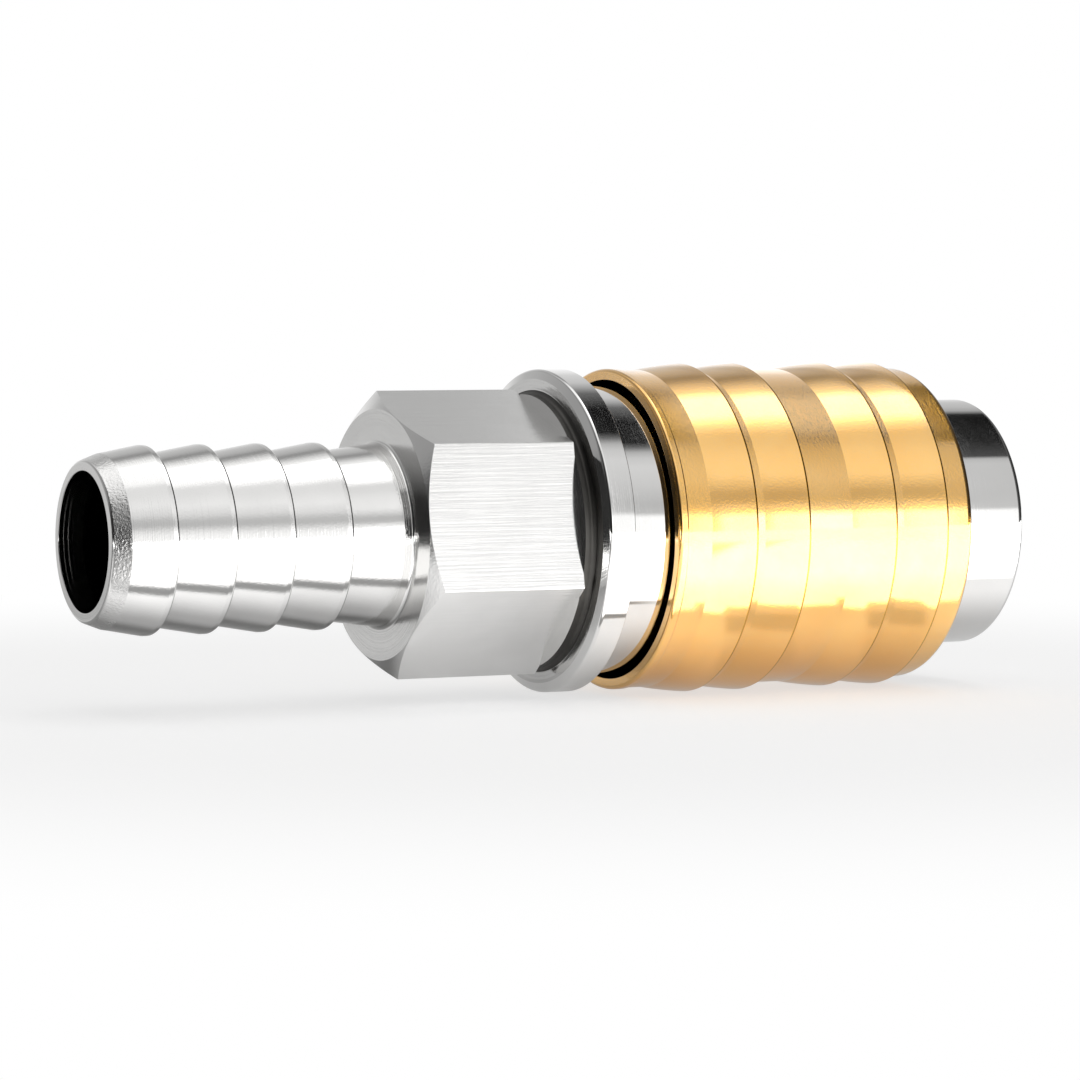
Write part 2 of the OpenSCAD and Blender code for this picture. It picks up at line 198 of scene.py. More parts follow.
def lift(flat: Array, angles: Array) -> Array:
    """Carries (x, r) pairs round the axis: rows x columns of [x, r * direction(angle)]."""
    return flat[:, :1, None] * AXIS + flat[:, 1:, None] * around(angles)[None]


def grid_surface(places: Array, starts: Array, ends: Array, wrap: bool, slot: Array) -> Surface:
    """Joins a closed grid of rows and columns into quads.

    Quad (i, j) has the corners (i, j), (i, j + 1), (i + 1, j + 1), (i + 1, j), which turns its
    face to the left of the profile. A row that lies on the axis becomes one pole of triangles.

    Args:
        places: rows x columns x 3 vertices.
        starts: normals on each band's first row, rows x columns x 3.
        ends: normals on each band's last row, rows x columns x 3.
        wrap: whether the last column meets the first.
        slot: material slot of each band.

    Returns:
        The surface.
    """
    rows, columns = places.shape[:2]
    index = np.arange(rows * columns).reshape(rows, columns)
    pole = np.hypot(places[..., 1], places[..., 2]).max(axis=1) < TINY
    index[pole] = index[pole][:, :1]
    last = columns if wrap else columns - 1
    j, k = np.arange(last), (np.arange(last) + 1) % columns
    below, above = index, np.roll(index, -1, axis=0)
    quads = np.stack([below[:, j], below[:, k], above[:, k], above[:, j]], axis=-1)
    normals = np.stack([starts[:, j], starts[:, k], ends[:, k], ends[:, j]], axis=-2)
    bands = np.repeat(np.asarray(slot)[:, None], last, axis=1)
    low, high = pole, np.roll(pole, -1)
    plain = ~low & ~high
    groups = [(plain, [0, 1, 2, 3]), (low & ~high, [0, 2, 3]), (high & ~low, [0, 1, 2])]
    polygons = [quads[g][..., c].reshape(-1, len(c)) for g, c in groups if g.any()]
    corner_normals = [normals[g][..., c, :].reshape(-1, len(c), 3) for g, c in groups if g.any()]
    slots = [bands[g].ravel() for g, _ in groups if g.any()]
    return Surface(places.reshape(-1, 3), polygons, corner_normals, slots)


def revolve(outline: Profile, angles: Array, wrap: bool = True, slot: Array | None = None) -> Surface:
    """Turns a profile about X: vertex (i, j) is [x_i, r_i * direction(angle_j)].

    A normal (n_x, n_r) of the profile turns with it, so a turned face shades exactly.

    Args:
        outline: the profile.
        angles: angles of the columns.
        wrap: False for a part of a turn, which gets a flat cap at each end.
        slot: material slot of the band after each point, 0 for all if left out.

    Returns:
        The surface.
    """
    count, columns = len(outline.points), len(angles)
    made = grid_surface(
        lift(outline.points, angles),
        lift(outline.after, angles),
        np.roll(lift(outline.before, angles), -1, axis=0),
        wrap,
        np.zeros(count, int) if slot is None else slot,
    )
    if wrap:
        return made
    rows = np.arange(count) * columns
    caps = [rows[None], rows[None, ::-1] + columns - 1]
    tangents = np.cross(around(angles[[0, -1]]), AXIS)
    facing = [np.broadcast_to(side * t, (1, count, 3)) for side, t in zip((1, -1), tangents)]
    cap_slots = [np.zeros(1, int)] * 2
    return Surface(made.vertices, made.polygons + caps, made.normals + facing, made.slots + cap_slots)


def prism(outline: Array, first_x: float, last_x: float) -> Surface:
    """Carries a flat outline along X: vertex (i, k) is [x_i, y_k, z_k], with a flat cap at each end.

    Args:
        outline: (y, z) points, counter-clockwise as seen from +X.
        first_x: x of the first cap.
        last_x: x of the last cap.

    Returns:
        The closed surface.
    """
    count = len(outline)
    ends = [np.column_stack([np.full(count, x), outline]) for x in (first_x, last_x)]
    j, k = np.arange(count), (np.arange(count) + 1) % count
    walls = np.stack([j, k, k + count, j + count], axis=1)
    edge = outline[k] - outline[j]
    out = np.column_stack([np.zeros(count), edge[:, 1], -edge[:, 0]])
    out /= np.linalg.norm(out, axis=1, keepdims=True)
    facing = [np.broadcast_to(side * AXIS, (1, count, 3)) for side in (-1, 1)]
    polygons = [walls, np.arange(count)[None, ::-1], np.arange(count)[None] + count]
    normals = [np.repeat(out[:, None], 4, axis=1), *facing]
    return Surface(np.concatenate(ends), polygons, normals, [np.zeros(len(p), int) for p in polygons])


def helix_surface(
    span: tuple[float, float], mean_r: float, wire: float, turns: int, closed_rise: float = 1.04
) -> Surface:
    """Sweeps a wire along a compression spring that is closed at both ends.

    The wire's middle lies at [x(t), mean_r * direction(t)] after t turns. x rises by closed_rise
    wires in the first and last turn and evenly between them. The section is a circle in the plane
    of the axis and the spoke, and both ends are capped.

    Args:
        span: first and last x of the spring.
        mean_r: radius of the wire's middle.
        wire: diameter of the wire.
        turns: number of turns.
        closed_rise: rise of a closed turn, in wires.

    Returns:
        The surface.
    """
    sides, steps = 18, 40
    length = span[1] - span[0] - wire
    closed = closed_rise * wire
    t = np.linspace(0, turns, turns * steps + 1)
    x = np.interp(t, [0, 1, turns - 1, turns], [0, closed, length - closed, length])
    b = full_circle(sides)
    spoke = around(2 * math.pi * t)[:, None]
    normal = np.cos(b)[None, :, None] * spoke + np.sin(b)[None, :, None] * AXIS
    middle = (span[0] + wire / 2 + x)[:, None, None] * AXIS + mean_r * spoke
    places = middle + normal * wire / 2
    index = np.arange(len(t) * sides).reshape(len(t), sides)
    j, k = np.arange(sides), (np.arange(sides) + 1) % sides
    quads = np.stack([index[:-1][:, j], index[1:][:, j], index[1:][:, k], index[:-1][:, k]], axis=-1)
    shade = np.stack([normal[:-1][:, j], normal[1:][:, j], normal[1:][:, k], normal[:-1][:, k]], axis=-2)
    caps = [index[:1], index[-1:, ::-1]]
    ahead = np.cross(spoke[[0, -1], 0], AXIS)
    facing = [np.broadcast_to(side * a, (1, sides, 3)) for side, a in zip((1, -1), ahead)]
    polygons = [quads.reshape(-1, 4), *caps]
    normals = [shade.reshape(-1, 4, 3), *facing]
    return Surface(places.reshape(-1, 3), polygons, normals, [np.zeros(len(p), int) for p in polygons])


def mesh_of(name: str, surface: Surface) -> bpy.types.Mesh:
    """Puts a surface into a new mesh, in metres, with its own normals.

    Args:
        name: the mesh's name.
        surface: the surface, in millimetres.

    Returns:
        The mesh.
    """
    mesh = bpy.data.meshes.new(name)
    faces = [f for p in surface.polygons for f in p.tolist()]
    mesh.from_pydata((surface.vertices * MM).tolist(), [], faces)
    mesh.polygons.foreach_set("material_index", np.concatenate(surface.slots).astype(np.int32))
    mesh.polygons.foreach_set("use_smooth", np.ones(len(mesh.polygons), bool))
    if len(surface.vertices) != len({i for p in surface.polygons for i in np.unique(p)}):
        drop_loose(mesh)
    corner_normals = np.concatenate([n.reshape(-1, 3) for n in surface.normals])
    mesh.normals_split_custom_set(corner_normals.tolist())
    mesh.update()
    return mesh


def drop_loose(mesh: bpy.types.Mesh) -> None:
    """Removes the vertices that a pole left unused, which keeps the order of the polygons.

    Args:
        mesh: the mesh, which is filled anew.
    """
    used = np.zeros(len(mesh.vertices), bool)
    corners = np.zeros(len(mesh.loops), np.int32)
    mesh.loops.foreach_get("vertex_index", corners)
    used[corners] = True
    places = np.zeros(len(mesh.vertices) * 3, np.float32)
    mesh.vertices.foreach_get("co", places)
    fresh = np.cumsum(used) - 1
    faces = [[int(fresh[i]) for i in p.vertices] for p in mesh.polygons]
    slots = [p.material_index for p in mesh.polygons]
    mesh.clear_geometry()
    mesh.from_pydata(places.reshape(-1, 3)[used].tolist(), [], faces)
    mesh.polygons.foreach_set("material_index", slots)
    mesh.polygons.foreach_set("use_smooth", np.ones(len(mesh.polygons), bool))


def shade_as_turned(mesh: bpy.types.Mesh) -> None:
    """Gives the turned faces of a cut mesh exact normals.

    A polygon whose normal has no part along the turn belongs to a turned face. There each corner's
    normal is the polygon's (n_x, n_r) pair, with the spoke taken at the corner. Others stay flat.

    Args:
        mesh: a mesh of faces turned about X, after cuts.
    """
    count = len(mesh.polygons)
    normals, centres = np.zeros(count * 3), np.zeros(count * 3)
    mesh.polygons.foreach_get("normal", normals)
    mesh.polygons.foreach_get("center", centres)
    totals = np.zeros(count, np.int32)
    mesh.polygons.foreach_get("loop_total", totals)
    corner = np.zeros(len(mesh.loops), np.int32)
    mesh.loops.foreach_get("vertex_index", corner)
    places = np.zeros(len(mesh.vertices) * 3)
    mesh.vertices.foreach_get("co", places)
    normals, centres, places = (a.reshape(-1, 3) for a in (normals, centres, places))

    def spokes(points: Array) -> Array:
        """Unit directions from the axis."""
        flat = points * [0, 1, 1]
        return flat / np.maximum(np.linalg.norm(flat, axis=1, keepdims=True), TINY * TINY)

    spoke = spokes(centres)
    along, most = np.cross(spoke, AXIS), 0.05
    turned = np.abs((normals * along).sum(axis=1)) < most
    radial = (normals * spoke).sum(axis=1)
    face = np.repeat(np.arange(count), totals)
    exact = normals[face] * AXIS + radial[face][:, None] * spokes(places[corner])
    kept = np.where(turned[face][:, None], exact, normals[face])
    mesh.normals_split_custom_set((kept / np.linalg.norm(kept, axis=1, keepdims=True)).tolist())


def cut(name: str, base: Surface, cutters: Surface) -> bpy.types.Mesh:
    """Takes closed cutters out of a closed turned surface, whose material slots stay.

    Args:
        name: the mesh's name.
        base: the surface that is cut.
        cutters: the surfaces that are taken out.

    Returns:
        The mesh, shaded as turned.
    """
    solid = bpy.data.objects.new(name, mesh_of(name, base))
    tool = bpy.data.objects.new(name + "_tool", mesh_of(name + "_tool", cutters))
    for o in (solid, tool):
        bpy.context.scene.collection.objects.link(o)
    change = solid.modifiers.new("cut", "BOOLEAN")
    change.operation, change.solver, change.object = "DIFFERENCE", "EXACT", tool
    ready = solid.evaluated_get(bpy.context.evaluated_depsgraph_get())
    made = bpy.data.meshes.new_from_object(ready)
    for o in (solid, tool):
        bpy.data.objects.remove(o)
    slots = np.zeros(len(made.polygons), np.int32)
    made.polygons.foreach_get("material_index", slots)
    made.materials.clear()
    made.polygons.foreach_set("material_index", slots)
    made.polygons.foreach_set("use_smooth", np.ones(len(made.polygons), bool))
    shade_as_turned(made)
    return made


# Node trees as expressions


class Value:
    """A socket that carries a number. Python's operators on it add Math nodes."""

    def __init__(self, graph: "Graph", socket: bpy.types.NodeSocket) -> None:
        """Wraps one output socket of a graph."""
        self.graph = graph
        self.socket = socket

    def math(self, operation: str, *others: "Value | float", flipped: bool = False) -> "Value":
        """Adds a Math node.

        Args:
            operation: name of the Math node's operation.
            others: its other inputs.
            flipped: puts this value after the first of the others.

        Returns:
            The node's result.
        """
        terms = [self, *others]
        if flipped:
            terms[:2] = terms[1::-1]
        node = self.graph.node("ShaderNodeMath", {"operation": operation}, dict(enumerate(terms)))
        return Value(self.graph, node.outputs[0])

    def __add__(self, other: "Value | float") -> "Value":
        """self + other."""
        return self.math("ADD", other)

    __radd__ = __add__

    def __sub__(self, other: "Value | float") -> "Value":
        """self - other."""
        return self.math("SUBTRACT", other)

    def __rsub__(self, other: float) -> "Value":
        """other - self."""
        return self.math("SUBTRACT", other, flipped=True)

    def __mul__(self, other: "Value | float") -> "Value":
        """self * other."""
        return self.math("MULTIPLY", other)

    __rmul__ = __mul__

    def __truediv__(self, other: "Value | float") -> "Value":
        """self / other."""
        return self.math("DIVIDE", other)

    def __neg__(self) -> "Value":
        """-self."""
        return self * -1.0

    def __abs__(self) -> "Value":
        """The size of self, without its sign."""
        return self.math("ABSOLUTE")

    def blend(self, first: "Value | float", last: "Value | float") -> "Value":
        """first where this share is 0, last where it is 1."""
        node = self.graph.node("ShaderNodeMix", {"data_type": "FLOAT"}, {0: self, 2: first, 3: last})
        return Value(self.graph, node.outputs[0])

    def ramp(self, low: float, high: float, first: float = 0.0, last: float = 1.0) -> "Value":
        """Maps low..high smoothly to first..last and holds the ends.

        Args:
            low: value at which the change starts.
            high: value at which it is done.
            first: result below low.
            last: result above high.

        Returns:
            The mapped value.
        """
        node = self.graph.node(
            "ShaderNodeMapRange",
            {"interpolation_type": "SMOOTHSTEP"},
            {"Value": self, "From Min": low, "From Max": high, "To Min": first, "To Max": last},
        )
        return Value(self.graph, node.outputs["Result"])

    def strip(self, rise: tuple[float, float], fall: tuple[float, float]) -> "Value":
        """1 between a smooth rise and a smooth fall, 0 outside them."""
        return self.ramp(*rise) * self.ramp(*fall, 1.0, 0.0)


class Graph:
    """A node tree that is written as expressions."""

    def __init__(self, tree: bpy.types.NodeTree) -> None:
        """Starts from an empty tree."""
        tree.nodes.clear()
        self.tree = tree

    def node(self, kind: str, settings: dict | None = None, inputs: dict | None = None) -> bpy.types.Node:
        """Adds any node.

        Args:
            kind: the node's type.
            settings: its properties; "stops" are a ramp's (place, grey) pairs.
            inputs: values or links by socket name or number.

        Returns:
            The node.
        """
        made = self.tree.nodes.new(kind)
        for key, value in (settings or {}).items():
            if key == "stops":
                self.set_stops(made.color_ramp, value)
            else:
                setattr(made, key, value)
        for key, value in (inputs or {}).items():
            if isinstance(value, Value):
                value = value.socket
            if isinstance(value, bpy.types.NodeSocket):
                self.tree.links.new(value, made.inputs[key])
            else:
                made.inputs[key].default_value = value
        return made

    def set_stops(self, ramp: bpy.types.ColorRamp, stops: Sequence[tuple[float, float]]) -> None:
        """Sets the stops of a grey ramp.

        Args:
            ramp: the ramp.
            stops: (place, grey) pairs in rising order.
        """
        while len(ramp.elements) > 1:
            ramp.elements.remove(ramp.elements[-1])
        ramp.elements[0].position = stops[0][0]
        for place, _ in stops[1:]:
            ramp.elements.new(place)
        for element, (_, grey) in zip(ramp.elements, stops):
            element.color = (grey, grey, grey, 1)

    def position(self) -> bpy.types.NodeSocket:
        """The point on the surface in the object's own frame, in metres."""
        return self.node("ShaderNodeTexCoord").outputs["Object"]

    def parts(self, vector: bpy.types.NodeSocket) -> list[Value]:
        """X, Y and Z of a vector."""
        node = self.node("ShaderNodeSeparateXYZ", None, {0: vector})
        return [Value(self, o) for o in node.outputs]

    def scaled(self, vector: bpy.types.NodeSocket, factors: Corner) -> bpy.types.NodeSocket:
        """The vector with each part multiplied by its factor."""
        node = self.node("ShaderNodeVectorMath", {"operation": "MULTIPLY"}, {0: vector, 1: factors})
        return node.outputs[0]

    def noise(self, at: "bpy.types.NodeSocket | Value", scale: float, detail: float = 2.0) -> Value:
        """Noise of about 0..1, along one number or through space.

        Args:
            at: a number or a point, in metres.
            scale: grains per metre.
            detail: how many finer layers lie over the grains.

        Returns:
            The noise.
        """
        kind, settings = "ShaderNodeTexNoise", None
        inputs = {"Vector": at, "Scale": scale, "Detail": detail}
        if isinstance(at, Value):
            settings = {"noise_dimensions": "1D"}
            inputs = {"W": at * scale, "Scale": 1.0, "Detail": detail}
        return Value(self, self.node(kind, settings, inputs).outputs[0])

    def mixed(self, share: Value, first: Corner, second: Corner) -> bpy.types.NodeSocket:
        """The first colour where the share is 0, the second where it is 1."""
        inputs = {0: share, 6: (*first, 1), 7: (*second, 1)}
        return self.node("ShaderNodeMix", {"data_type": "RGBA"}, inputs).outputs[2]

    def bump(self, height_mm: Value) -> bpy.types.NodeSocket:
        """Normal of a surface with a relief of this height in millimetres."""
        inputs = {"Strength": 1.0, "Distance": MM, "Height": height_mm}
        return self.node("ShaderNodeBump", None, inputs).outputs[0]

    def finish(self, shader: bpy.types.Node, kind: str = "ShaderNodeOutputMaterial") -> None:
        """Links a shader to the output."""
        self.node(kind, None, {0: shader.outputs[0]})


# Finishes


CLOUDS = 260  # patches per metre of the drift between a finish's two tones
FLECKS = 1400  # patches per metre of its finer drift
SPECKLES = 5200  # grains per metre of its speckle


class Grain(Enum):
    """How a surface was worked, as the noises that make its marks.

    Each noise is (grains per metre along X, grains per metre across, finer layers, share).
    """

    TURNED = ((7000, 7000, 3, 0.55), (1900, 1900, 2, 0.45))
    MILLED = ((140, 5200, 3, 0.7), (60, 1300, 2, 0.3))
    TUMBLED = ((5200, 5200, 3, 0.6), (1500, 1500, 2, 0.4))
    DRAWN = ((6000, 900, 2, 1.0),)
    MOULDED = ((9000, 9000, 2, 1.0),)


@dataclass(frozen=True)
class Finish:
    """One finish of the coupler and its procedural material.

    The colour drifts between two tones, the roughness drifts about its middle, and the marks of
    the tool stand mark_mm high, with grains of speckle_mm over them.
    """

    name: str
    slot: str
    colour: Corner
    second: Corner
    roughness: float
    grain: Grain
    metallic: float = 1.0
    mark_mm: float = 0.001
    speckle_mm: float = 0.0
    drift: float = 0.05
    coat: float = 0.0
    coat_roughness: float = 0.1
    coat_ior: float = 1.5

    def marks(self, g: Graph, at: bpy.types.NodeSocket) -> Value:
        """Height of the marks, about 0..1: the grain's noises, each times its share.

        The rings of turning follow x + r, which runs along a cylinder and across a flat face
        alike. The other marks are noise in space, stretched where X has fewer grains.

        Args:
            g: the material's graph.
            at: the point on the surface.

        Returns:
            The height.
        """
        if self.grain is Grain.TURNED:
            flat = g.node("ShaderNodeVectorMath", {"operation": "LENGTH"}, {0: g.scaled(at, (0, 1, 1))})
            ring = g.parts(at)[0] + Value(g, flat.outputs["Value"])
            layers = [g.noise(ring, along, fine) * share for along, _, fine, share in self.grain.value]
        else:
            layers = [
                g.noise(g.scaled(at, (along, across, across)), 1.0, fine) * share
                for along, across, fine, share in self.grain.value
            ]
        return sum(layers[1:], layers[0])

    def build(self) -> bpy.types.Material:
        """Makes the material once, from clouds, flecks, speckles and the marks of the tool.

        Returns:
            The material.
        """
        if self.name in bpy.data.materials:
            return bpy.data.materials[self.name]
        material = bpy.data.materials.new(self.name)
        material.use_nodes = True
        g = Graph(material.node_tree)
        at = g.position()
        height = self.marks(g, at)
        cloud = g.noise(at, CLOUDS, 3)
        fleck = g.noise(at, FLECKS, 3)
        speckle = g.noise(at, SPECKLES, 2)
        rough = self.roughness + (cloud - 0.5) * self.drift * 2
        for layer in (fleck, height):
            rough = rough + (layer - 0.5) * self.drift
        inputs = {
            "Base Color": g.mixed(cloud.ramp(0.3, 0.7), self.colour, self.second),
            "Metallic": self.metallic,
            "Roughness": rough,
            "Coat Weight": self.coat,
            "Coat Roughness": self.coat_roughness,
            "Coat IOR": self.coat_ior,
            "Normal": g.bump(height * self.mark_mm + speckle * self.speckle_mm),
        }
        g.finish(g.node("ShaderNodeBsdfPrincipled", None, inputs))
        material.diffuse_color = (*self.colour, 1)
        return material


NICKEL_TURNED = Finish(
    "nickel_turned",
    "nickel_plating",
    (0.78, 0.775, 0.765),
    (0.75, 0.745, 0.735),
    0.1,
    Grain.TURNED,
    mark_mm=0.008,
    speckle_mm=0.004,
    drift=0.03,
)
NICKEL_FACED = replace(NICKEL_TURNED, name="nickel_faced", roughness=0.12, mark_mm=0.012)
NICKEL_POLISHED = replace(
    NICKEL_TURNED,
    name="nickel_polished",
    second=(0.76, 0.755, 0.745),
    roughness=0.045,
    mark_mm=0.0008,
    speckle_mm=0.0004,
    drift=0.02,
)
NICKEL_GRAINY = replace(
    NICKEL_TURNED,
    name="nickel_grainy",
    roughness=0.26,
    grain=Grain.TUMBLED,
    mark_mm=0.02,
    speckle_mm=0.02,
    drift=0.06,
)
# Milled nickel of the hexagon: the milling marks are real, and its colour, lighter than the turned nickel,
# is a painted highlight.
NICKEL_MILLED_AND_HIGHLIGHT = replace(
    NICKEL_TURNED,
    name="nickel_milled_and_highlight",
    colour=(0.88, 0.875, 0.865),
    second=(0.84, 0.835, 0.825),
    roughness=0.15,
    grain=Grain.MILLED,
    mark_mm=0.011,
    speckle_mm=0.002,
    drift=0.05,
)
NICKEL_BORED = replace(
    NICKEL_TURNED,
    name="nickel_bored",
    colour=(0.7, 0.695, 0.685),
    second=(0.64, 0.635, 0.625),
    roughness=0.34,
    speckle_mm=0.0,
    drift=0.06,
)
# Near-black nickel for the short neck between the hexagon and the flange: painted shade in the recess, not
# the plating's colour.
NICKEL_PAINTED_SHADE = replace(
    NICKEL_TURNED,
    name="nickel_painted_shade",
    colour=(0.05, 0.048, 0.045),
    second=(0.08, 0.077, 0.072),
    roughness=0.4,
    mark_mm=0.004,
    speckle_mm=0.0,
    drift=0.05,
)
BRASS_SATIN = Finish(
    "brass_satin",
    "satin_brass",
    (0.93, 0.47, 0.04),
    (0.95, 0.51, 0.07),
    0.13,
    Grain.TUMBLED,
    mark_mm=0.006,
    speckle_mm=0.006,
    coat=1.0,
    coat_roughness=0.06,
    coat_ior=2.33,
)
# Darker brass for the ribs' rounded edges: a painted shade line, not the brass's own colour.
BRASS_PAINTED_SHADE = Finish(
    "brass_painted_shade", "satin_brass", (0.6, 0.32, 0.05), (0.66, 0.37, 0.08), 0.2, Grain.TUMBLED, mark_mm=0.003
)
BRASS_TURNED = Finish(
    "brass_turned", "turned_brass", (0.82, 0.6, 0.26), (0.76, 0.53, 0.22), 0.28, Grain.TURNED, mark_mm=0.002
)
STEEL_SPRING = Finish(
    "steel_spring", "spring_steel", (0.55, 0.55, 0.56), (0.46, 0.46, 0.47), 0.3, Grain.DRAWN
)
STEEL_POLISHED = Finish(
    "steel_polished",
    "polished_steel",
    (0.8, 0.8, 0.8),
    (0.77, 0.77, 0.78),
    0.07,
    Grain.DRAWN,
    mark_mm=0.0001,
    drift=0.02,
)
RUBBER = Finish(
    "rubber_black",
    "black_rubber",
    (0.012, 0.012, 0.012),
    (0.02, 0.02, 0.02),
    0.5,
    Grain.MOULDED,
    metallic=0.0,
    mark_mm=0.003,
)
PLASTIC = replace(
    RUBBER,
    name="plastic_white",
    slot="white_plastic",
    colour=(0.78, 0.77, 0.72),
    second=(0.72, 0.71, 0.66),
    roughness=0.42,
)


class TailSlot(IntEnum):
    """Material slots of the tail, in the order of its finishes."""

    TURNED = 0
    MILLED = 1
    POLISHED = 2
    FACED = 3
    GRAINY = 4
    # painted shade on the neck behind the hexagon
    PAINTED_SHADE = 5


TAIL_FINISHES = (
    NICKEL_TURNED,
    NICKEL_MILLED_AND_HIGHLIGHT,
    NICKEL_POLISHED,
    NICKEL_FACED,
    NICKEL_GRAINY,
    NICKEL_PAINTED_SHADE,
)


# Pieces


class Part:
    """What every sub-assembly can do: make a piece, dress it and report it."""

    def add(
        self, name: str, mesh: bpy.types.Mesh, body: str, node: str, finishes: Sequence[Finish]
    ) -> bpy.types.Object:
        """Turns a mesh into a piece of the coupler and reports it.

        Args:
            name: the piece's name.
            mesh: its mesh, in metres.
            body: the CAD body that it rides on.
            node: the CAD node that it stands for.
            finishes: its materials by slot.

        Returns:
            The piece.
        """
        piece = bpy.data.objects.new(name, mesh)
        bpy.context.scene.collection.objects.link(piece)
        for finish in finishes:
            mesh.materials.append(finish.build())
        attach(piece, body)
        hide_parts(node)
        low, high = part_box(node)
        places = np.array([v.co for v in mesh.vertices])
        off = max(np.abs(places.min(0) - low).max(), np.abs(places.max(0) - high).max())
        log.info("%s: %d faces, %.2f mm off its solid's box", name, len(mesh.polygons), off / MM)
        return piece

    def repaint(self, node: str, finish: Finish) -> None:
        """Gives a CAD node that stays its procedural material.

        Args:
            node: the node's name.
            finish: its finish.
        """
        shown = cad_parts[node]
        shown.data.materials.clear()
        shown.data.materials.append(finish.build())
        log.info("%s: its own solid, %s", node, finish.name)


@dataclass
class HoseTail(Part):
    """The barbed tail with its hexagon and flange, one turned and milled piece.

    lead is the end of the lead-in as (x, r), tool_marks are the bore's (pitch, depth, count), steps
    are where the barbs fall, lean and chamfer are angles in degrees, bevel is the flange's
    (length, height), and margin is how far a finish stays off the round of a corner.
    """

    bore_r: float = 5.2
    tip_r: float = 5.94
    tip_round: float = 0.3
    lead: tuple[float, float] = (1.36, 6.45)
    tool_marks: tuple[float, float, int] = (0.36, 0.012, 5)
    root_r: float = 6.3
    crest_r: float = 7.0
    crest_land: float = 0.3
    crest_round: float = 0.2
    steps: tuple[float, ...] = (4.85, 9.42, 13.99, 18.56)
    neck_r: float = 6.9
    neck_fillet: float = 0.3
    hex_x: float = 23.45
    hex_end: float = 35.75
    apothem: float = 9.5
    face_r: float = 9.46
    corner_round: float = 0.16
    lean: float = 9.8
    chamfer: float = 30.0
    relief_r: float = 10.45
    flange_x: float = 36.6
    flange_r: float = 12.35
    bevel: tuple[float, float] = (0.3, 0.72)
    joint_x: float = 38.98
    spigot_r: float = 8.45
    spigot_x: float = 45.48
    spigot_bevel: float = 0.4
    well_r: float = 6.6
    well_x: float = 37.98
    margin: float = 0.02
    flat_columns: int = 49
    corner_columns: int = 12

    def hose_side(self) -> list[Corner]:
        """Walks the outer skin from the bore's mouth to the hexagon's turned face.

        Returns:
            The corners.
        """
        corners: list[Corner] = [
            (0, self.bore_r, 0.06),
            (0, self.tip_r, self.tip_round),
            (*self.lead, 0.06),
        ]
        for step in self.steps:
            corners += [
                (step - self.crest_land - self.crest_round, self.crest_r, 0.12),
                (step, self.crest_r, self.crest_round),
                (step, self.root_r, 0.06),
            ]
        corners += [
            (self.hex_x - self.neck_fillet, self.neck_r, SMOOTH),
            (self.hex_x, self.neck_r, self.neck_fillet * 0.98),
        ]
        return corners

    def flange_side(self) -> list[Corner]:
        """Walks from the relief's foot over the flange and back through the bore.

        Returns:
            The corners.
        """
        pitch, depth, count = self.tool_marks
        half = pitch / 3
        grooves: list[Corner] = []
        for i in range(count, 0, -1):
            x = i * pitch
            grooves += [(x + half, self.bore_r), (x, self.bore_r + depth), (x - half, self.bore_r)]
        return [
            (self.flange_x, self.relief_r, 0.4),
            (self.flange_x, self.flange_r - self.bevel[1], 0.05),
            (self.flange_x + self.bevel[0], self.flange_r, 0.28),
            (self.joint_x, self.flange_r, 0.08),
            (self.joint_x, self.spigot_r),
            (self.spigot_x - self.spigot_bevel, self.spigot_r),
            (self.spigot_x, self.spigot_r - self.spigot_bevel),
            (self.spigot_x, self.well_r),
            (self.well_x, self.well_r),
            (self.well_x, self.bore_r),
            *grooves,
        ]

    def columns(self) -> tuple[Array, Array, Array]:
        """Columns round the tail with the hexagon's radius and normal at each.

        On a flat, the radius is apothem / cos(angle from the flat's middle). Near a corner it is
        where the ray meets the corner's round, whose middle lies (apothem - round) / cos(30 deg)
        from the axis.

        Returns:
            Angles, radii and normals (columns x 3) of the hexagon's outline.
        """
        corner = math.radians(30)
        hub = (self.apothem - self.corner_round) / math.cos(corner)
        edge = math.atan2(hub * math.sin(corner), hub * math.cos(corner) + self.corner_round)
        flat = np.linspace(-edge, edge, self.flat_columns)
        arc = np.linspace(edge, 2 * corner - edge, self.corner_columns)[1:-1]
        sector = np.concatenate([flat, arc])
        off = np.abs((sector + corner) % (2 * corner) - corner)
        alpha = corner - off
        inside = np.maximum(self.corner_round**2 - (hub * np.sin(alpha)) ** 2, 0)
        reach = hub * np.cos(alpha) + np.sqrt(inside)
        radius = np.where(off > edge - TINY, reach, self.apothem / np.cos(off))
        tip = np.stack([radius * np.cos(sector), radius * np.sin(sector)], axis=1)
        middle = hub * np.array([math.cos(corner), math.sin(corner)])
        swing = np.where(sector > edge, np.arctan2(tip[:, 1] - middle[1], tip[:, 0] - middle[0]), 0.0)
        starts = -corner - math.radians(self.lean) + np.arange(6) * 2 * corner
        angles = (starts[:, None] + sector).ravel()
        normals = around((starts[:, None] + swing).ravel())
        return angles, np.tile(radius, 6), normals

    def slots(self, level: Array, rim: int) -> Array:
        """Chooses the finish of each band from the x where it starts.

        The hexagon is milled, its far end and the flange are polished, faces square to the axis
        are faced, the lead-in is grainy, and the short neck behind the hexagon gets near-black
        nickel, which is painted shade in the recess.

        Args:
            level: x of each row.
            rim: row of the turned face's rim, where the hexagon starts.

        Returns:
            The slot of each band.
        """
        row = np.arange(len(level))
        slot = np.full(len(level), int(TailSlot.TURNED))
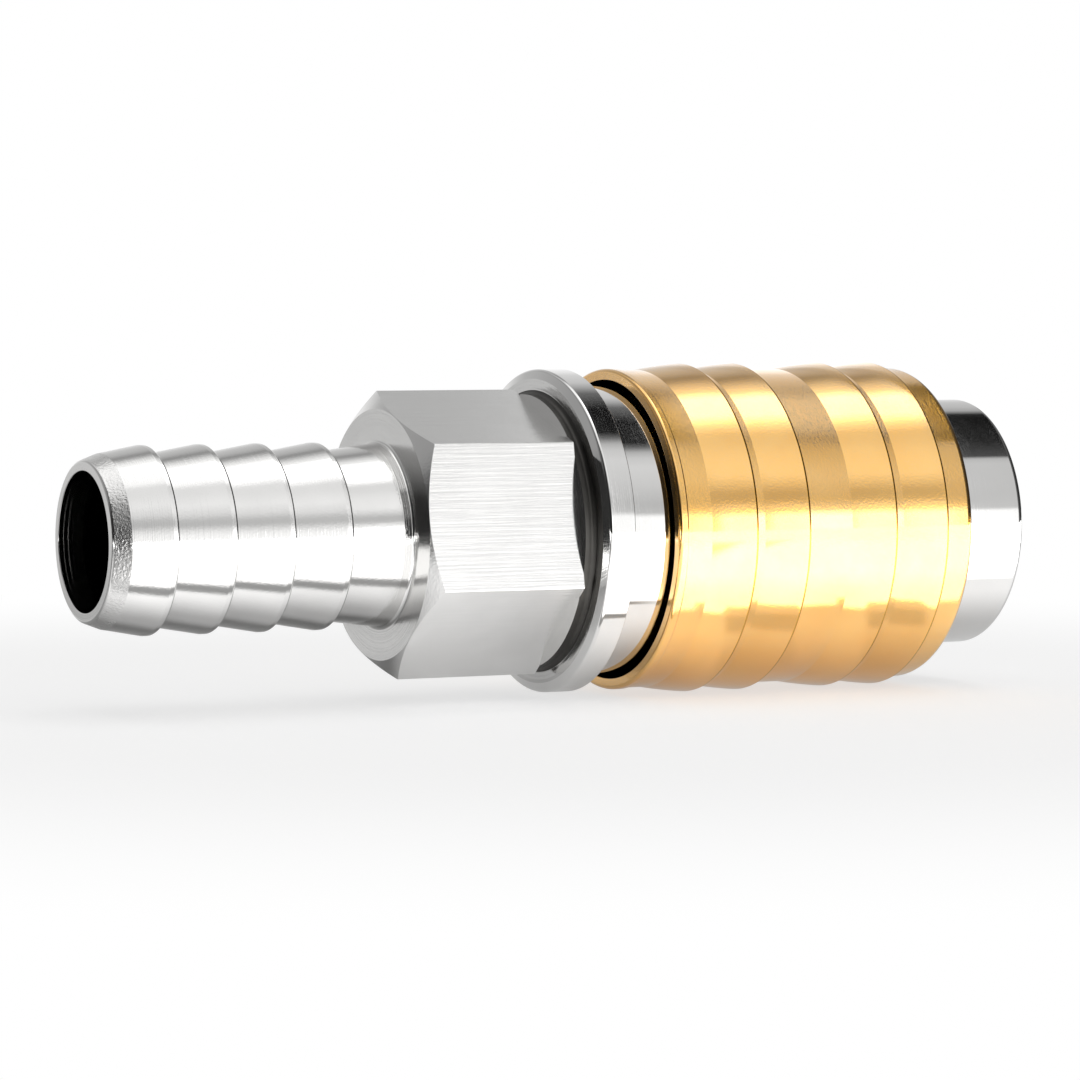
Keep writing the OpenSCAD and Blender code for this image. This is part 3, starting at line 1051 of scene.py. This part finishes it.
        # The hexagon's chamfer and flats get the milled nickel, whose lighter colour is a painted highlight.
        slot[rim : rim + 2] = TailSlot.MILLED
        slot[rim + 2] = TailSlot.POLISHED
        for x in (self.hex_x, self.flange_x):
            slot[np.isclose(level, x) & np.isclose(np.roll(level, -1), x)] = TailSlot.FACED
        skin = (row > 2) & (row < rim)
        lead_in = (level > self.tip_round * 0.4) & (level < self.lead[0] - self.margin)
        slot[skin & lead_in] = TailSlot.GRAINY
        flange = (level >= self.flange_x + TINY) & (level < self.joint_x - TINY)
        slot[(row > rim) & flange] = TailSlot.POLISHED
        # Painted shade: the neck between the hexagon and the flange gets near-black nickel.
        neck = (level > self.hex_end - TINY) & (level < self.flange_x - self.margin)
        slot[(row > rim + 2) & neck] = TailSlot.PAINTED_SHADE
        return slot

    def build(self) -> Surface:
        """Joins both turned sides with the hexagon's rows between them.

        The turned face's rim is followed by the chamfer's crease at x = hex_x + (r - face_r) *
        tan(chamfer), which curves because r changes along a flat, and by the flats' far end.

        Returns:
            The surface with its slots.
        """
        angles, radius, flat_normal = self.columns()
        spoke = around(angles)
        outline = profile(
            self.hose_side()
            + [(self.hex_x, self.face_r), (self.hex_end, self.relief_r)]
            + self.flange_side()
        )
        rim = int(np.argmin(np.abs(outline.points - [self.hex_x, self.face_r]).sum(1)))
        split = rim + 1
        runs = (outline.points, outline.after, outline.before)
        places, after, before = (lift(run, angles) for run in runs)
        slope = math.radians(self.chamfer)
        crease = self.hex_x + (radius - self.face_r) * math.tan(slope)
        shell = radius[:, None] * spoke
        rows = np.stack([crease[:, None] * AXIS + shell, self.hex_end * AXIS + shell])
        cone = -math.cos(slope) * AXIS + math.sin(slope) * spoke
        end_face = -np.sign(self.relief_r - radius)[:, None] * AXIS
        hexagon = [cone, flat_normal, end_face]
        following = np.roll(before, -1, axis=0)
        places = np.concatenate([places[:split], rows, places[split:]])
        starts = np.concatenate([after[:rim], hexagon, after[split:]])
        ends = np.concatenate([following[:rim], hexagon, following[split:]])
        ends[rim - 1] = before[rim]
        starts[split + 2] = spoke
        return grid_surface(places, starts, ends, True, self.slots(places[:, 0, 0], rim))

    def dress(self) -> None:
        """Makes the piece."""
        mesh = mesh_of("barbed_tail", self.build())
        self.add("barbed_tail", mesh, "coupler", "hose_tail", TAIL_FINISHES)


@dataclass
class ReleaseSleeve(Part):
    """The pull-back sleeve with its lip and its two pairs of ribs.

    rib_slopes are the slopes in degrees at the start and the end of a rib, and the shade span is
    where a line of darker brass is painted shade on a rib's rounded edge, before and past its step.
    """

    rim_x: float = 42.68
    front_x: float = 68.51
    r: float = 12.25
    lip_r: float = 12.35
    lip_len: float = 0.7
    rib_h: float = 0.5
    rib_len: float = 3.1
    rib_swell: float = 3.8
    rib_slopes: tuple[float, float] = (10.5, 4.5)
    edge_round: float = 0.22
    shade_span: tuple[float, float] = (-0.253, 0.03)
    ribs: tuple[float, ...] = (46.18, 50.73, 58.36, 62.91)
    bore_r: float = 11.5
    land_r: float = 9.77
    land_x: float = 59.18
    cone_x: float = 62.287
    step_x: float = 66.08
    cone_end_r: float = 10.691
    recess_r: float = 11.151
    columns: int = 288

    def rib(self, x: float) -> list[Corner]:
        """Walks over a rib: an arc that flattens towards its steep step, from a start before x.

        The slope falls evenly along the arc, and the height is its running sum, scaled to rib_h.

        Args:
            x: where the rib starts without its swell.

        Returns:
            The corners.
        """
        step, count = x + self.rib_len, 13
        slopes = np.linspace(*self.rib_slopes, count)
        rise = np.concatenate([[0], np.cumsum(np.tan(np.radians((slopes[1:] + slopes[:-1]) / 2)))])
        along = np.linspace(-self.rib_swell, 0, count) + step
        height = self.r + rise / rise[-1] * self.rib_h
        return [
            (along[0], self.r, 0.3),
            *[(a, b, SMOOTH) for a, b in zip(along[1:-1], height[1:-1])],
            (step, height[-1], self.edge_round),
            (step, self.r, 0.04),
        ]

    def edges(self, outline: Profile) -> Array:
        """Finds the bands on the ribs' rounded edges, where darker brass is painted shade.

        Args:
            outline: the sleeve's profile.

        Returns:
            1 for each band on an edge, 0 for the others.
        """
        x, r = outline.points.T
        past = x[:, None] - np.array(self.ribs) - self.rib_len
        near = (past > self.shade_span[0]) & (past < self.shade_span[1])
        return (near.any(axis=1) & (r > self.r - 0.01)).astype(int)

    def dress(self) -> None:
        """Makes the piece."""
        lip_end = self.rim_x + self.lip_len
        corners: list[Corner] = [
            (self.rim_x, self.lip_r, 0.3),
            (lip_end, self.lip_r, 0.05),
            (lip_end + 0.1, self.r, 0.05),
        ]
        for x in self.ribs:
            corners += self.rib(x)
        corners += [
            (self.front_x, self.r, 0.6),
            (self.front_x, self.recess_r, 0.08),
            (self.step_x, self.recess_r, 0.1),
            (self.step_x, self.cone_end_r),
            (self.cone_x, self.land_r),
            (self.land_x, self.land_r, 0.05),
            (self.land_x, self.bore_r, 0.1),
            (self.rim_x, self.bore_r, 0.08),
        ]
        outline = profile(corners)
        # the bands on the ribs' edges get the darker brass, painted shade
        surface = revolve(outline, full_circle(self.columns), slot=self.edges(outline))
        mesh = mesh_of("pull_sleeve", surface)
        self.add("pull_sleeve", mesh, "sleeve", "release_sleeve", [BRASS_SATIN, BRASS_PAINTED_SHADE])


@dataclass
class CouplerBody(Part):
    """The body: collar, nose, ring groove, mouth and the stepped holes of the balls.

    groove is (first x, last x, r), and each hole narrows to seat_hole_r at seat_r from the axis.
    """

    joint_x: float = 38.98
    collar_r: float = 11.05
    shoulder_x: float = 47.48
    nose_r: float = 9.7
    groove: tuple[float, float, float] = (66.08, 67.38, 8.9)
    mouth_x: float = 74.68
    mouth_bevel: float = 0.8
    plug_r: float = 6.05
    relief_r: float = 6.3
    relief_x: float = 65.18
    gland_x: float = 59.28
    bush_hole_r: float = 7.7
    bush_x: float = 52.23
    chamber_r: float = 7.9
    spigot_x: float = 45.53
    spigot_r: float = 8.47
    seal_x: float = 40.28
    seal_r: float = 9.62
    ball_x: float = 62.48
    ball_centre_r: float = 7.45
    ball_r: float = 2.25
    hole_r: float = 2.3
    seat_r: float = 6.75
    seat_hole_r: float = 2.151
    hole_end: float = 12.0
    balls: int = 6

    def turn(self, i: int) -> float:
        """Angle about the axis of the hole of ball i."""
        return math.radians(360 / self.balls * i)

    def hole(self, i: int) -> Surface:
        """Turns the stepped hole of one ball upright about X, then swings it round the body.

        Args:
            i: number of the ball, from 0.

        Returns:
            The closed hole.
        """
        shape = profile([
            (0, 0),
            (0, self.seat_hole_r),
            (self.seat_r, self.seat_hole_r),
            (self.seat_r, self.hole_r),
            (self.hole_end, self.hole_r),
            (self.hole_end, 0),
        ])
        up = Matrix.Rotation(math.radians(-90), 4, "Y")
        place = Matrix.Translation((self.ball_x, 0, 0)) @ Matrix.Rotation(self.turn(i), 4, "X")
        return revolve(shape, full_circle(64)).turned(place @ up)

    def bores(self, outline: Profile) -> Array:
        """Finds the bands of the plug's bore and of the chambers behind it.

        Args:
            outline: the body's profile.

        Returns:
            1 for each band in a bore, 0 for the others.
        """
        x, r = outline.points.T
        inner = np.arange(len(x)) > np.argmax(x)
        plug_side = (r < self.seat_r) & (x < self.mouth_x - 0.7)
        chambers = x < self.gland_x + 0.1
        return (inner & (plug_side | chambers)).astype(int)

    def dress(self) -> None:
        """Makes the body and its balls."""
        g0, g1, groove_r = self.groove
        corners: list[Corner] = [
            (self.joint_x, self.collar_r, 0.15),
            (self.shoulder_x, self.collar_r, 0.08),
            (self.shoulder_x, self.nose_r),
            (g0, self.nose_r),
            (g0, groove_r),
            (g1, groove_r),
            (g1, self.nose_r, 0.04),
            (self.mouth_x, self.nose_r, 0.5),
            (self.mouth_x, self.plug_r + self.mouth_bevel, 0.06),
            (self.mouth_x - self.mouth_bevel, self.plug_r, 0.06),
            (self.relief_x, self.plug_r),
            (self.relief_x, self.relief_r),
            (self.gland_x, self.relief_r),
            (self.gland_x, self.bush_hole_r),
            (self.bush_x, self.bush_hole_r),
            (self.bush_x, self.chamber_r),
            (self.spigot_x, self.chamber_r),
            (self.spigot_x, self.spigot_r),
            (self.seal_x, self.spigot_r),
            (self.seal_x, self.seal_r),
            (self.joint_x, self.seal_r),
        ]
        outline = profile(corners)
        holes = self.hole(0)
        for i in range(1, self.balls):
            holes = holes + self.hole(i)
        base = revolve(outline, full_circle(240), slot=self.bores(outline))
        mesh = cut("body_shell", base, holes)
        self.add("body_shell", mesh, "coupler", "coupler_body", [NICKEL_POLISHED, NICKEL_BORED])
        for i in range(self.balls):
            self.ball(i)

    def ball(self, i: int) -> None:
        """Makes a ball: half a circle turned about an axis through its middle, with closed poles.

        Args:
            i: number of the ball, from 0.
        """
        a = np.linspace(math.pi, 0, 33)
        arc = np.stack([np.cos(a), np.sin(a)], axis=1)
        arc[[0, -1], 1] = 0
        normal = np.vstack([arc, [[1, 0]]])
        half = Profile(np.vstack([arc * self.ball_r, [[0, 0]]]), normal, normal)
        middle = Vector(self.ball_centre_r * around(np.array(self.turn(i)))) + Vector((self.ball_x, 0, 0))
        surface = revolve(half, full_circle(56)).turned(Matrix.Translation(middle))
        name = f"lock_ball_{i + 1}"
        self.add(name, mesh_of(name, surface), f"ball_{i + 1}", f"locking_ball_{i + 1}", [STEEL_POLISHED])


@dataclass
class LockParts(Part):
    """What works under the sleeve: ring, washer and spring.

    ring and washer are (first x, last x, inner r, outer r), and split is the gap in the ring.
    """

    ring: tuple[float, float, float, float] = (66.13, 67.33, 8.95, 11.0)
    split: float = 7.0
    washer: tuple[float, float, float, float] = (58.33, 59.13, 9.8, 11.35)
    spring: tuple[float, float] = (47.5, 58.31)
    spring_r: float = 10.6
    wire: float = 1.0
    turns: int = 6
    travel: float = 3.5

    def flat_ring(self, size: tuple[float, float, float, float], rounding: float) -> Profile:
        """Section of a flat ring from (first x, last x, inner r, outer r), rounded outside."""
        x0, x1, r0, r1 = size
        return profile([(x0, r0, 0.05), (x0, r1, rounding), (x1, r1, rounding), (x1, r0, 0.05)])

    def dress(self) -> None:
        """Makes the pieces."""
        half = math.asin(self.split / 2 / self.ring[3])
        angles = np.linspace(math.pi + half, 3 * math.pi - half, 220)
        mesh = mesh_of("stop_ring", revolve(self.flat_ring(self.ring, 0.1), angles, wrap=False))
        self.add("stop_ring", mesh, "coupler", "retaining_ring", [STEEL_SPRING])
        mesh = mesh_of("thrust_washer", revolve(self.flat_ring(self.washer, 0.08), full_circle(144)))
        self.add("thrust_washer", mesh, "washer", "spring_washer", [STEEL_SPRING])
        coil = mesh_of("return_coil", helix_surface(self.spring, self.spring_r, self.wire, self.turns))
        piece = self.add("return_coil", coil, "coupler", "sleeve_spring", [STEEL_SPRING])
        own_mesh(piece)


@dataclass
class Valve(Part):
    """The shut-off valve with its guide, spring, bush and seals.

    seal is (x, r, section), bush is (first x, last x, inner r, outer r), bush_groove is (first x,
    last x, r), window is the width of a window in the crown, and rings are the other seals, each
    piece with its (node, x, r, section).
    """

    stem_x: float = 38.98
    stem_r: float = 1.9
    flange_x: float = 50.579
    flange_r: float = 7.15
    seal: tuple[float, float, float] = (52.579, 6.35, 1.5)
    groove_r: float = 5.58
    slack: float = 0.05
    crown_x: float = 54.179
    crown_front: float = 57.18
    crown_r: float = 6.05
    crown_inner_r: float = 4.85
    window: float = 3.2
    bush: tuple[float, float, float, float] = (52.28, 57.28, 6.3, 7.68)
    bush_groove: tuple[float, float, float] = (55.18, 56.18, 6.86)
    bush_bevel: float = 0.2
    seat_r: float = 7.48
    seat_x: float = 54.168
    rings: dict[str, tuple[str, float, float, float]] = field(
        default_factory=lambda: {
            "bush_ring": ("bush_seal", 55.68, 7.28, 0.8),
            "plug_ring": ("plug_seal", 58.28, 6.75, 1.8),
            "tail_ring": ("tail_seal", 39.58, 9.02, 1.1),
        }
    )
    spring: tuple[float, float] = (39.6, 50.559)
    spring_r: float = 6.0
    wire: float = 0.9
    turns: int = 7
    travel: float = 3.5

    def poppet(self) -> bpy.types.Mesh:
        """Turns stem, flange, seal groove and cup, and cuts four windows into the cup's wall.

        The windows are the arms of a cross: one arm's three corners, turned by quarter turns.

        Returns:
            The mesh.
        """
        x, _, section = self.seal
        reach = section / 2 + self.slack
        corners: list[Corner] = [
            (self.stem_x, 0),
            (self.stem_x, self.stem_r, 0.3),
            (self.flange_x, self.stem_r, 0.2),
            (self.flange_x, self.flange_r, 0.15),
            (x - reach, self.flange_r, 0.08),
            (x - reach, self.groove_r),
            (x + reach, self.groove_r),
            (x + reach, self.crown_r, 0.08),
            (self.crown_front, self.crown_r, 0.12),
            (self.crown_front, self.crown_inner_r, 0.12),
            (self.crown_x, self.crown_inner_r, 0.4),
            (self.crown_x, 0),
        ]
        base = revolve(profile(corners), full_circle(144))
        half, out = self.window / 2, self.crown_r + 1
        arm = np.array([(half, out), (-half, out), (-half, half)])
        turns = [np.array([[c, s], [-s, c]]) for c, s in ((1, 0), (0, 1), (-1, 0), (0, -1))]
        cross = np.concatenate([arm @ t for t in turns])
        return cut("valve_body", base, prism(cross, self.crown_x, self.crown_front + 1))

    def dress(self) -> None:
        """Makes the pieces."""
        self.add("valve_body", self.poppet(), "valve", "valve_poppet", [BRASS_TURNED])
        x0, x1, r0, r1 = self.bush
        g0, g1, groove_r = self.bush_groove
        corners: list[Corner] = [
            (x0, self.seat_r, 0.04),
            (x0, r1, 0.1),
            (g0, r1, 0.05),
            (g0, groove_r),
            (g1, groove_r),
            (g1, r1, 0.05),
            (x1 - self.bush_bevel, r1),
            (x1, r1 - self.bush_bevel),
            (x1, r0, 0.15),
            (self.seat_x, r0, 0.1),
        ]
        mesh = mesh_of("valve_seat", revolve(profile(corners), full_circle(180)))
        self.add("valve_seat", mesh, "coupler", "seat_bush", [BRASS_TURNED])
        for name, (node, x, r, section) in self.rings.items():
            mesh = mesh_of(name, revolve(ring_profile(x, r, section), full_circle(144)))
            self.add(name, mesh, "coupler", node, [RUBBER])
        mesh = mesh_of("valve_ring", revolve(ring_profile(*self.seal), full_circle(144)))
        self.add("valve_ring", mesh, "valve", "valve_seal", [RUBBER])
        coil = mesh_of("valve_coil", helix_surface(self.spring, self.spring_r, self.wire, self.turns))
        piece = self.add("valve_coil", coil, "coupler", "valve_spring", [STEEL_SPRING])
        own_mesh(piece)
        self.repaint("valve_guide", PLASTIC)


# Studio


Stops = tuple[tuple[float, float], ...]


@dataclass(frozen=True)
class Band:
    """A band of the room across X, with its brightness by the angle about X in degrees.

    It starts at one part of the direction along X and covers the band before it at another. The
    angle is 0 towards the camera's side, 90 overhead and 180 behind.
    """

    start: float
    full: float
    stops: Stops


@dataclass
class Studio:
    """Floor, surroundings and camera.

    Lengths are in millimetres, angles in degrees, and the floor's half side in metres. wedge_way
    is the sine and cosine of the way to the camera, skew leans the bands of the room, and the
    camera stands depth behind the reference point with its focal length in pixels of the image.
    """

    floor_z: float = -12.76
    floor_half: float = 3.0
    floor_middle: float = 37.0
    wedge_way: tuple[float, float] = (0.445, 0.894)
    skew: float = 0.0078
    hose_side: Stops = (
        (-180, 0.04), (0, 0.02), (50, 0.03), (67, 0.1), (90, 0.22), (108, 0.3), (150, 0.38),
        (165, 0.55), (175, 0.7), (180, 0.7),
    )
    room: tuple[Band, ...] = (
        Band(-0.38, -0.35, (
            (0, 0.1), (10, 0.25), (25, 0.32), (55, 0.35), (64, 1.1), (114, 1.2), (121, 0.9),
            (150, 0.4), (165, 0.55), (175, 0.7), (180, 0.7),
        )),
        Band(-0.25, 0.02, (
            (0, 1.28), (8, 1.2), (13, 1), (20, 0.62), (26, 0.65), (33, 0.9), (45, 1.08), (61, 0.97),
            (70, 0.97), (76, 1.28), (114, 1.28), (121, 0.95), (126, 0.42), (133, 0.28), (141, 0.48),
            (157, 0.66), (173, 0.95),
        )),
        Band(0.12, 0.2, (
            (0, 3.1), (9, 3.1), (13, 1.15), (16, 1.1), (19, 0.64), (25, 0.6), (30, 0.85),
            (37, 1.12), (53, 1.02), (61, 0.92), (69, 0.9), (77, 1.5), (85, 2.9), (101, 2.9),
            (109, 1.2), (117, 0.85), (125, 0.45), (130, 0.32), (135, 0.45), (141, 0.55),
            (157, 0.65), (165, 0.75), (180, 0.85),
        )),
        Band(0.416, 0.423, (
            (0, 1.3), (28, 1.3), (36, 1), (60, 0.9), (76, 0.5), (90, 0.3), (112, 0.3), (125, 0.38),
            (136, 0.46), (150, 0.5), (165, 0.8), (180, 1),
        )),
        Band(0.446, 0.451, (
            (0, 1.27), (12, 1.24), (15, 0.64), (22, 0.6), (29, 0.66), (37, 0.74), (53, 0.82),
            (61, 0.73), (66, 0.55), (71, 0.15), (76, 0.01), (98, 0.005), (103, 0.04), (109, 0.1),
            (117, 0.17), (121, 0.3), (125, 0.45), (133, 0.68), (149, 0.78), (157, 0.92),
            (180, 1.05),
        )),
        Band(0.47, 0.475, (
            (0, 4.2), (9, 4.2), (14, 1.2), (21, 0.7), (29, 0.8), (37, 0.92), (45, 0.85), (53, 0.7),
            (61, 0.62), (69, 0.6), (77, 0.98), (85, 1.15), (101, 1.15), (109, 0.95), (117, 0.7),
            (125, 0.66), (133, 0.7), (141, 0.78), (149, 0.87), (157, 1.15), (180, 1.15),
        )),
        Band(0.5165, 0.5205, (
            (0, 1.27), (12, 1.25), (14.5, 0.7), (28, 0.68), (58, 0.7), (63, 0.62), (66, 0.08),
            (77, 0.04), (85, 0.02), (117, 0.01), (124, 0.03), (127, 0.2), (132, 0.48), (141, 0.6),
            (157, 0.66), (165, 0.74), (173, 0.8),
        )),
        Band(0.57, 0.63, ((0, 0.2), (60, 0.12), (130, 0.12), (180, 0.3))),
        Band(0.75, 0.85, ((0, 0.04), (180, 0.04))),
    )
    azimuth: float = 26.46
    elevation: float = 2.95
    reference: tuple[float, float, float] = (37.15, 0, 0)
    depth: float = 339.49
    above_axis: float = 0.704
    focal_pixels: float = 4438.1
    image: int = 1080
    sensor: float = 36.0

    def camera(self) -> None:
        """Sets the photograph's camera.

        It looks along F = (sin az cos el, cos az cos el, -sin el) and stands depth behind the
        reference point, which appears above_axis over the middle of the picture.
        """
        az = math.radians(self.azimuth)
        ahead = -Vector(self.towards_camera())
        right = Vector((math.cos(az), -math.sin(az), 0))
        up = right.cross(ahead)
        at = (Vector(self.reference) - self.above_axis * up - self.depth * ahead) * MM
        data = bpy.data.cameras.new("camera")
        data.sensor_width = self.sensor
        data.lens = self.focal_pixels / self.image * self.sensor
        data.clip_start, data.clip_end = 0.01, 20
        camera = bpy.data.objects.new("camera", data)
        turn = Matrix((right, up, -ahead)).transposed().to_4x4()
        camera.matrix_world = Matrix.Translation(at) @ turn
        bpy.context.scene.collection.objects.link(camera)
        bpy.context.scene.camera = camera

    def surroundings(self) -> None:
        """Paints the room that the metal mirrors, dark behind the camera, which sees plain white."""
        world = bpy.data.worlds.new("room")
        world.use_nodes = True
        bpy.context.scene.world = world
        g = Graph(world.node_tree)
        way = g.node("ShaderNodeTexCoord").outputs["Generated"]
        x, y, z = g.parts(way)
        turn = z.math("ARCTAN2", -y) * (1 / (2 * math.pi)) + 0.5

        def band(stops: Stops) -> Value:
            """A ramp over the angle in degrees, at half scale because a ramp holds 0 to 1."""
            spots = [(angle / 360 + 0.5, bright / 2) for angle, bright in stops]
            return Value(g, g.node("ShaderNodeValToRGB", {"stops": spots}, {0: turn}).outputs[0]) * 2.0

        side = x + y * self.skew
        tone = band(self.hose_side)
        for part in self.room:
            tone = side.ramp(part.start, part.full).blend(tone, band(part.stops))
        tone = x.ramp(-0.97, -0.85).blend(0.04, tone)
        inputs = {0: way, 1: self.towards_camera()}
        facing = g.node("ShaderNodeVectorMath", {"operation": "DOT_PRODUCT"}, inputs)
        tone = Value(g, facing.outputs["Value"]).ramp(0.92, 0.96).blend(tone, 0.03)
        rays = g.node("ShaderNodeLightPath")
        seen, through = (Value(g, rays.outputs[f"Is {n} Ray"]) for n in ("Camera", "Transmission"))
        room = seen.math("MAXIMUM", through).blend(tone, 1.0)
        shader = g.node("ShaderNodeBackground", None, {"Color": (1, 1, 1, 1), "Strength": room})
        g.finish(shader, "ShaderNodeOutputWorld")

    def shaded_glow(self, x: Value, y: Value, width: Value) -> Value:
        """Glow of the floor under the coupler and behind it.

        Args:
            x: place along the coupler, in millimetres.
            y: place across it, in millimetres.
            width: half the shadow's width.

        Returns:
            The strength: grey under the coupler, with a dip at the hexagon, and pale behind it.
        """
        dip = x.strip((23, 27), (37, 41))
        near = x.ramp(8, 20, 1.0, 0.85) - dip * 0.17 - x.ramp(46, 52, 0.0, 0.13) + x.ramp(68, 73, 0.0, 0.13)
        low = x.ramp(30, 36).blend(y.ramp(-0.5, 4, 0.27, 0.0), 0.26) + dip * 0.08 + x.ramp(44, 50, 0.0, 0.06)
        under = (y + width * 0.85).ramp(0.0, 9.0).blend(near, low)
        return y.ramp(10, 50).blend(under, y.ramp(40, 240, 0.42, 0.66))

    def lit_glow(self, x: Value, ahead: Value) -> Value:
        """Glow of the floor in front of the coupler.

        Args:
            x: place along the coupler, in millimetres.
            ahead: distance in front of the axis, in millimetres.

        Returns:
            The strength: white along the tail, brighter along the sleeve, less past the hose end.
        """
        slant = x - ahead * 0.42
        bright = slant.ramp(26, 34).blend(1.27, ahead.ramp(15, 30, 2.5, 3.7))
        past_end = x.ramp(-10, -2, 0.65, 0.0) * ahead.ramp(60, 90, 1.0, 0.0)
        return ahead.ramp(70, 130).blend(bright, 3.5) * (1.0 - past_end)

    def painted_shadow_wedge(self, x: Value, ahead: Value) -> Value:
        """A painted shadow in the floor's glow, a wedge that opens from the hose end towards the camera.

        Args:
            x: place along the coupler, in millimetres.
            ahead: distance in front of the axis, in millimetres.

        Returns:
            1 in the wedge, 0 beside it.
        """
        sine, cosine = self.wedge_way
        far = ahead * cosine - x * sine
        aside = abs(x * cosine + ahead * sine) / far
        return far.ramp(12, 18) * aside.ramp(0.22, 0.34, 1.0, 0.0)

    def table_glow(self, g: Graph) -> Value:
        """What the floor shows to the metal beside its own shadow.

        It is bright in front of the coupler and shaded under it. The shadow's edge is a dark line
        that follows the coupler's width and ends at the sleeve. At the two pairs of ribs the
        shadow is wider, with a grey line along its foot.

        Args:
            g: the floor's graph.

        Returns:
            The strength of the glow.
        """
        x, y = (part * (1 / MM) for part in g.parts(g.position())[:2])
        ahead = -y
        ribs = x.strip((49, 50), (56.5, 57.5)) + x.strip((61.7, 62.7), (67, 68.5))
        width = x.ramp(24, 40, 11.4, 14.6) + ribs * 1.5
        edge = ahead - width
        line = (abs(edge) / x.ramp(24, 45, 2.0, 0.5)).ramp(0.4, 1.2, 1.0, 0.0) * x.ramp(44, 48, 1.0, 0.0)
        foot = abs(ahead - 13.3).ramp(0.8, 2.4, 0.38, 0.0) * ribs
        glow = edge.ramp(0.0, 1.5).blend(self.shaded_glow(x, y, width), self.lit_glow(x, ahead))
        # Painted shadows in the glow: the dark line at the shadow's edge, the grey line at the ribs' foot,
        # and the wedge towards the camera.
        for share in (line * 0.9, foot, self.painted_shadow_wedge(x, ahead) * 0.97):
            glow = glow * (1.0 - share)
        return glow

    def floor(self) -> None:
        """Lays a white floor that keeps a soft shadow.

        Near the coupler it is matt and glows, one way for the camera and another for the metal.
        Further off the camera sees plain white.
        """
        s, z = self.floor_half, self.floor_z * MM
        mesh = bpy.data.meshes.new("floor")
        mesh.from_pydata([(-s, -s, z), (s, -s, z), (s, s, z), (-s, s, z)], [], [(0, 1, 2, 3)])
        floor = bpy.data.objects.new("floor", mesh)
        bpy.context.scene.collection.objects.link(floor)
        material = bpy.data.materials.new("white_floor")
        material.use_nodes = True
        g = Graph(material.node_tree)
        inputs = {0: g.position(), 1: (self.floor_middle * MM, 0, z)}
        span = g.node("ShaderNodeVectorMath", {"operation": "DISTANCE"}, inputs)
        far = Value(g, span.outputs["Value"])
        rays = g.node("ShaderNodeLightPath")
        seen, mirrored = (Value(g, rays.outputs[f"Is {n} Ray"]) for n in ("Camera", "Glossy"))
        grey = mirrored.blend(seen.blend(0.86, 0.4), far.ramp(0.06, 0.12, 0.5, 0.0))
        colour = g.node("ShaderNodeCombineColor", None, {0: grey, 1: grey, 2: grey})
        matt = g.node("ShaderNodeBsdfDiffuse", None, {"Color": colour.outputs[0]})
        strength = seen * 0.64 + mirrored * self.table_glow(g)
        glow = g.node("ShaderNodeEmission", None, {"Color": (1, 1, 1, 1), "Strength": strength})
        near = g.node("ShaderNodeAddShader", None, {0: matt.outputs[0], 1: glow.outputs[0]})
        plain = g.node("ShaderNodeEmission", None, {"Color": (1, 1, 1, 1), "Strength": 1.0})
        share = far.ramp(0.05, 0.13) * seen
        mixed = g.node("ShaderNodeMixShader", None, {0: share, 1: near.outputs[0], 2: plain.outputs[0]})
        g.finish(mixed)
        mesh.materials.append(material)

    def towards_camera(self) -> tuple[float, float, float]:
        """Direction from the object to the camera, the reverse of F."""
        az, el = math.radians(self.azimuth), math.radians(self.elevation)
        return -math.sin(az) * math.cos(el), -math.cos(az) * math.cos(el), math.sin(el)

    def dress(self) -> None:
        """Sets up everything round the object."""
        view = bpy.context.scene.view_settings
        view.view_transform = "Standard"
        self.camera()
        self.surroundings()
        self.floor()


def main() -> None:
    """Builds the studio and the sub-assemblies."""
    logging.basicConfig(level=logging.INFO, format="%(message)s")
    Studio().dress()
    for part in (HoseTail(), CouplerBody(), LockParts(), Valve(), ReleaseSleeve()):
        log.info("%s", type(part).__name__)
        part.dress()


if __name__ == "__main__":
    main()
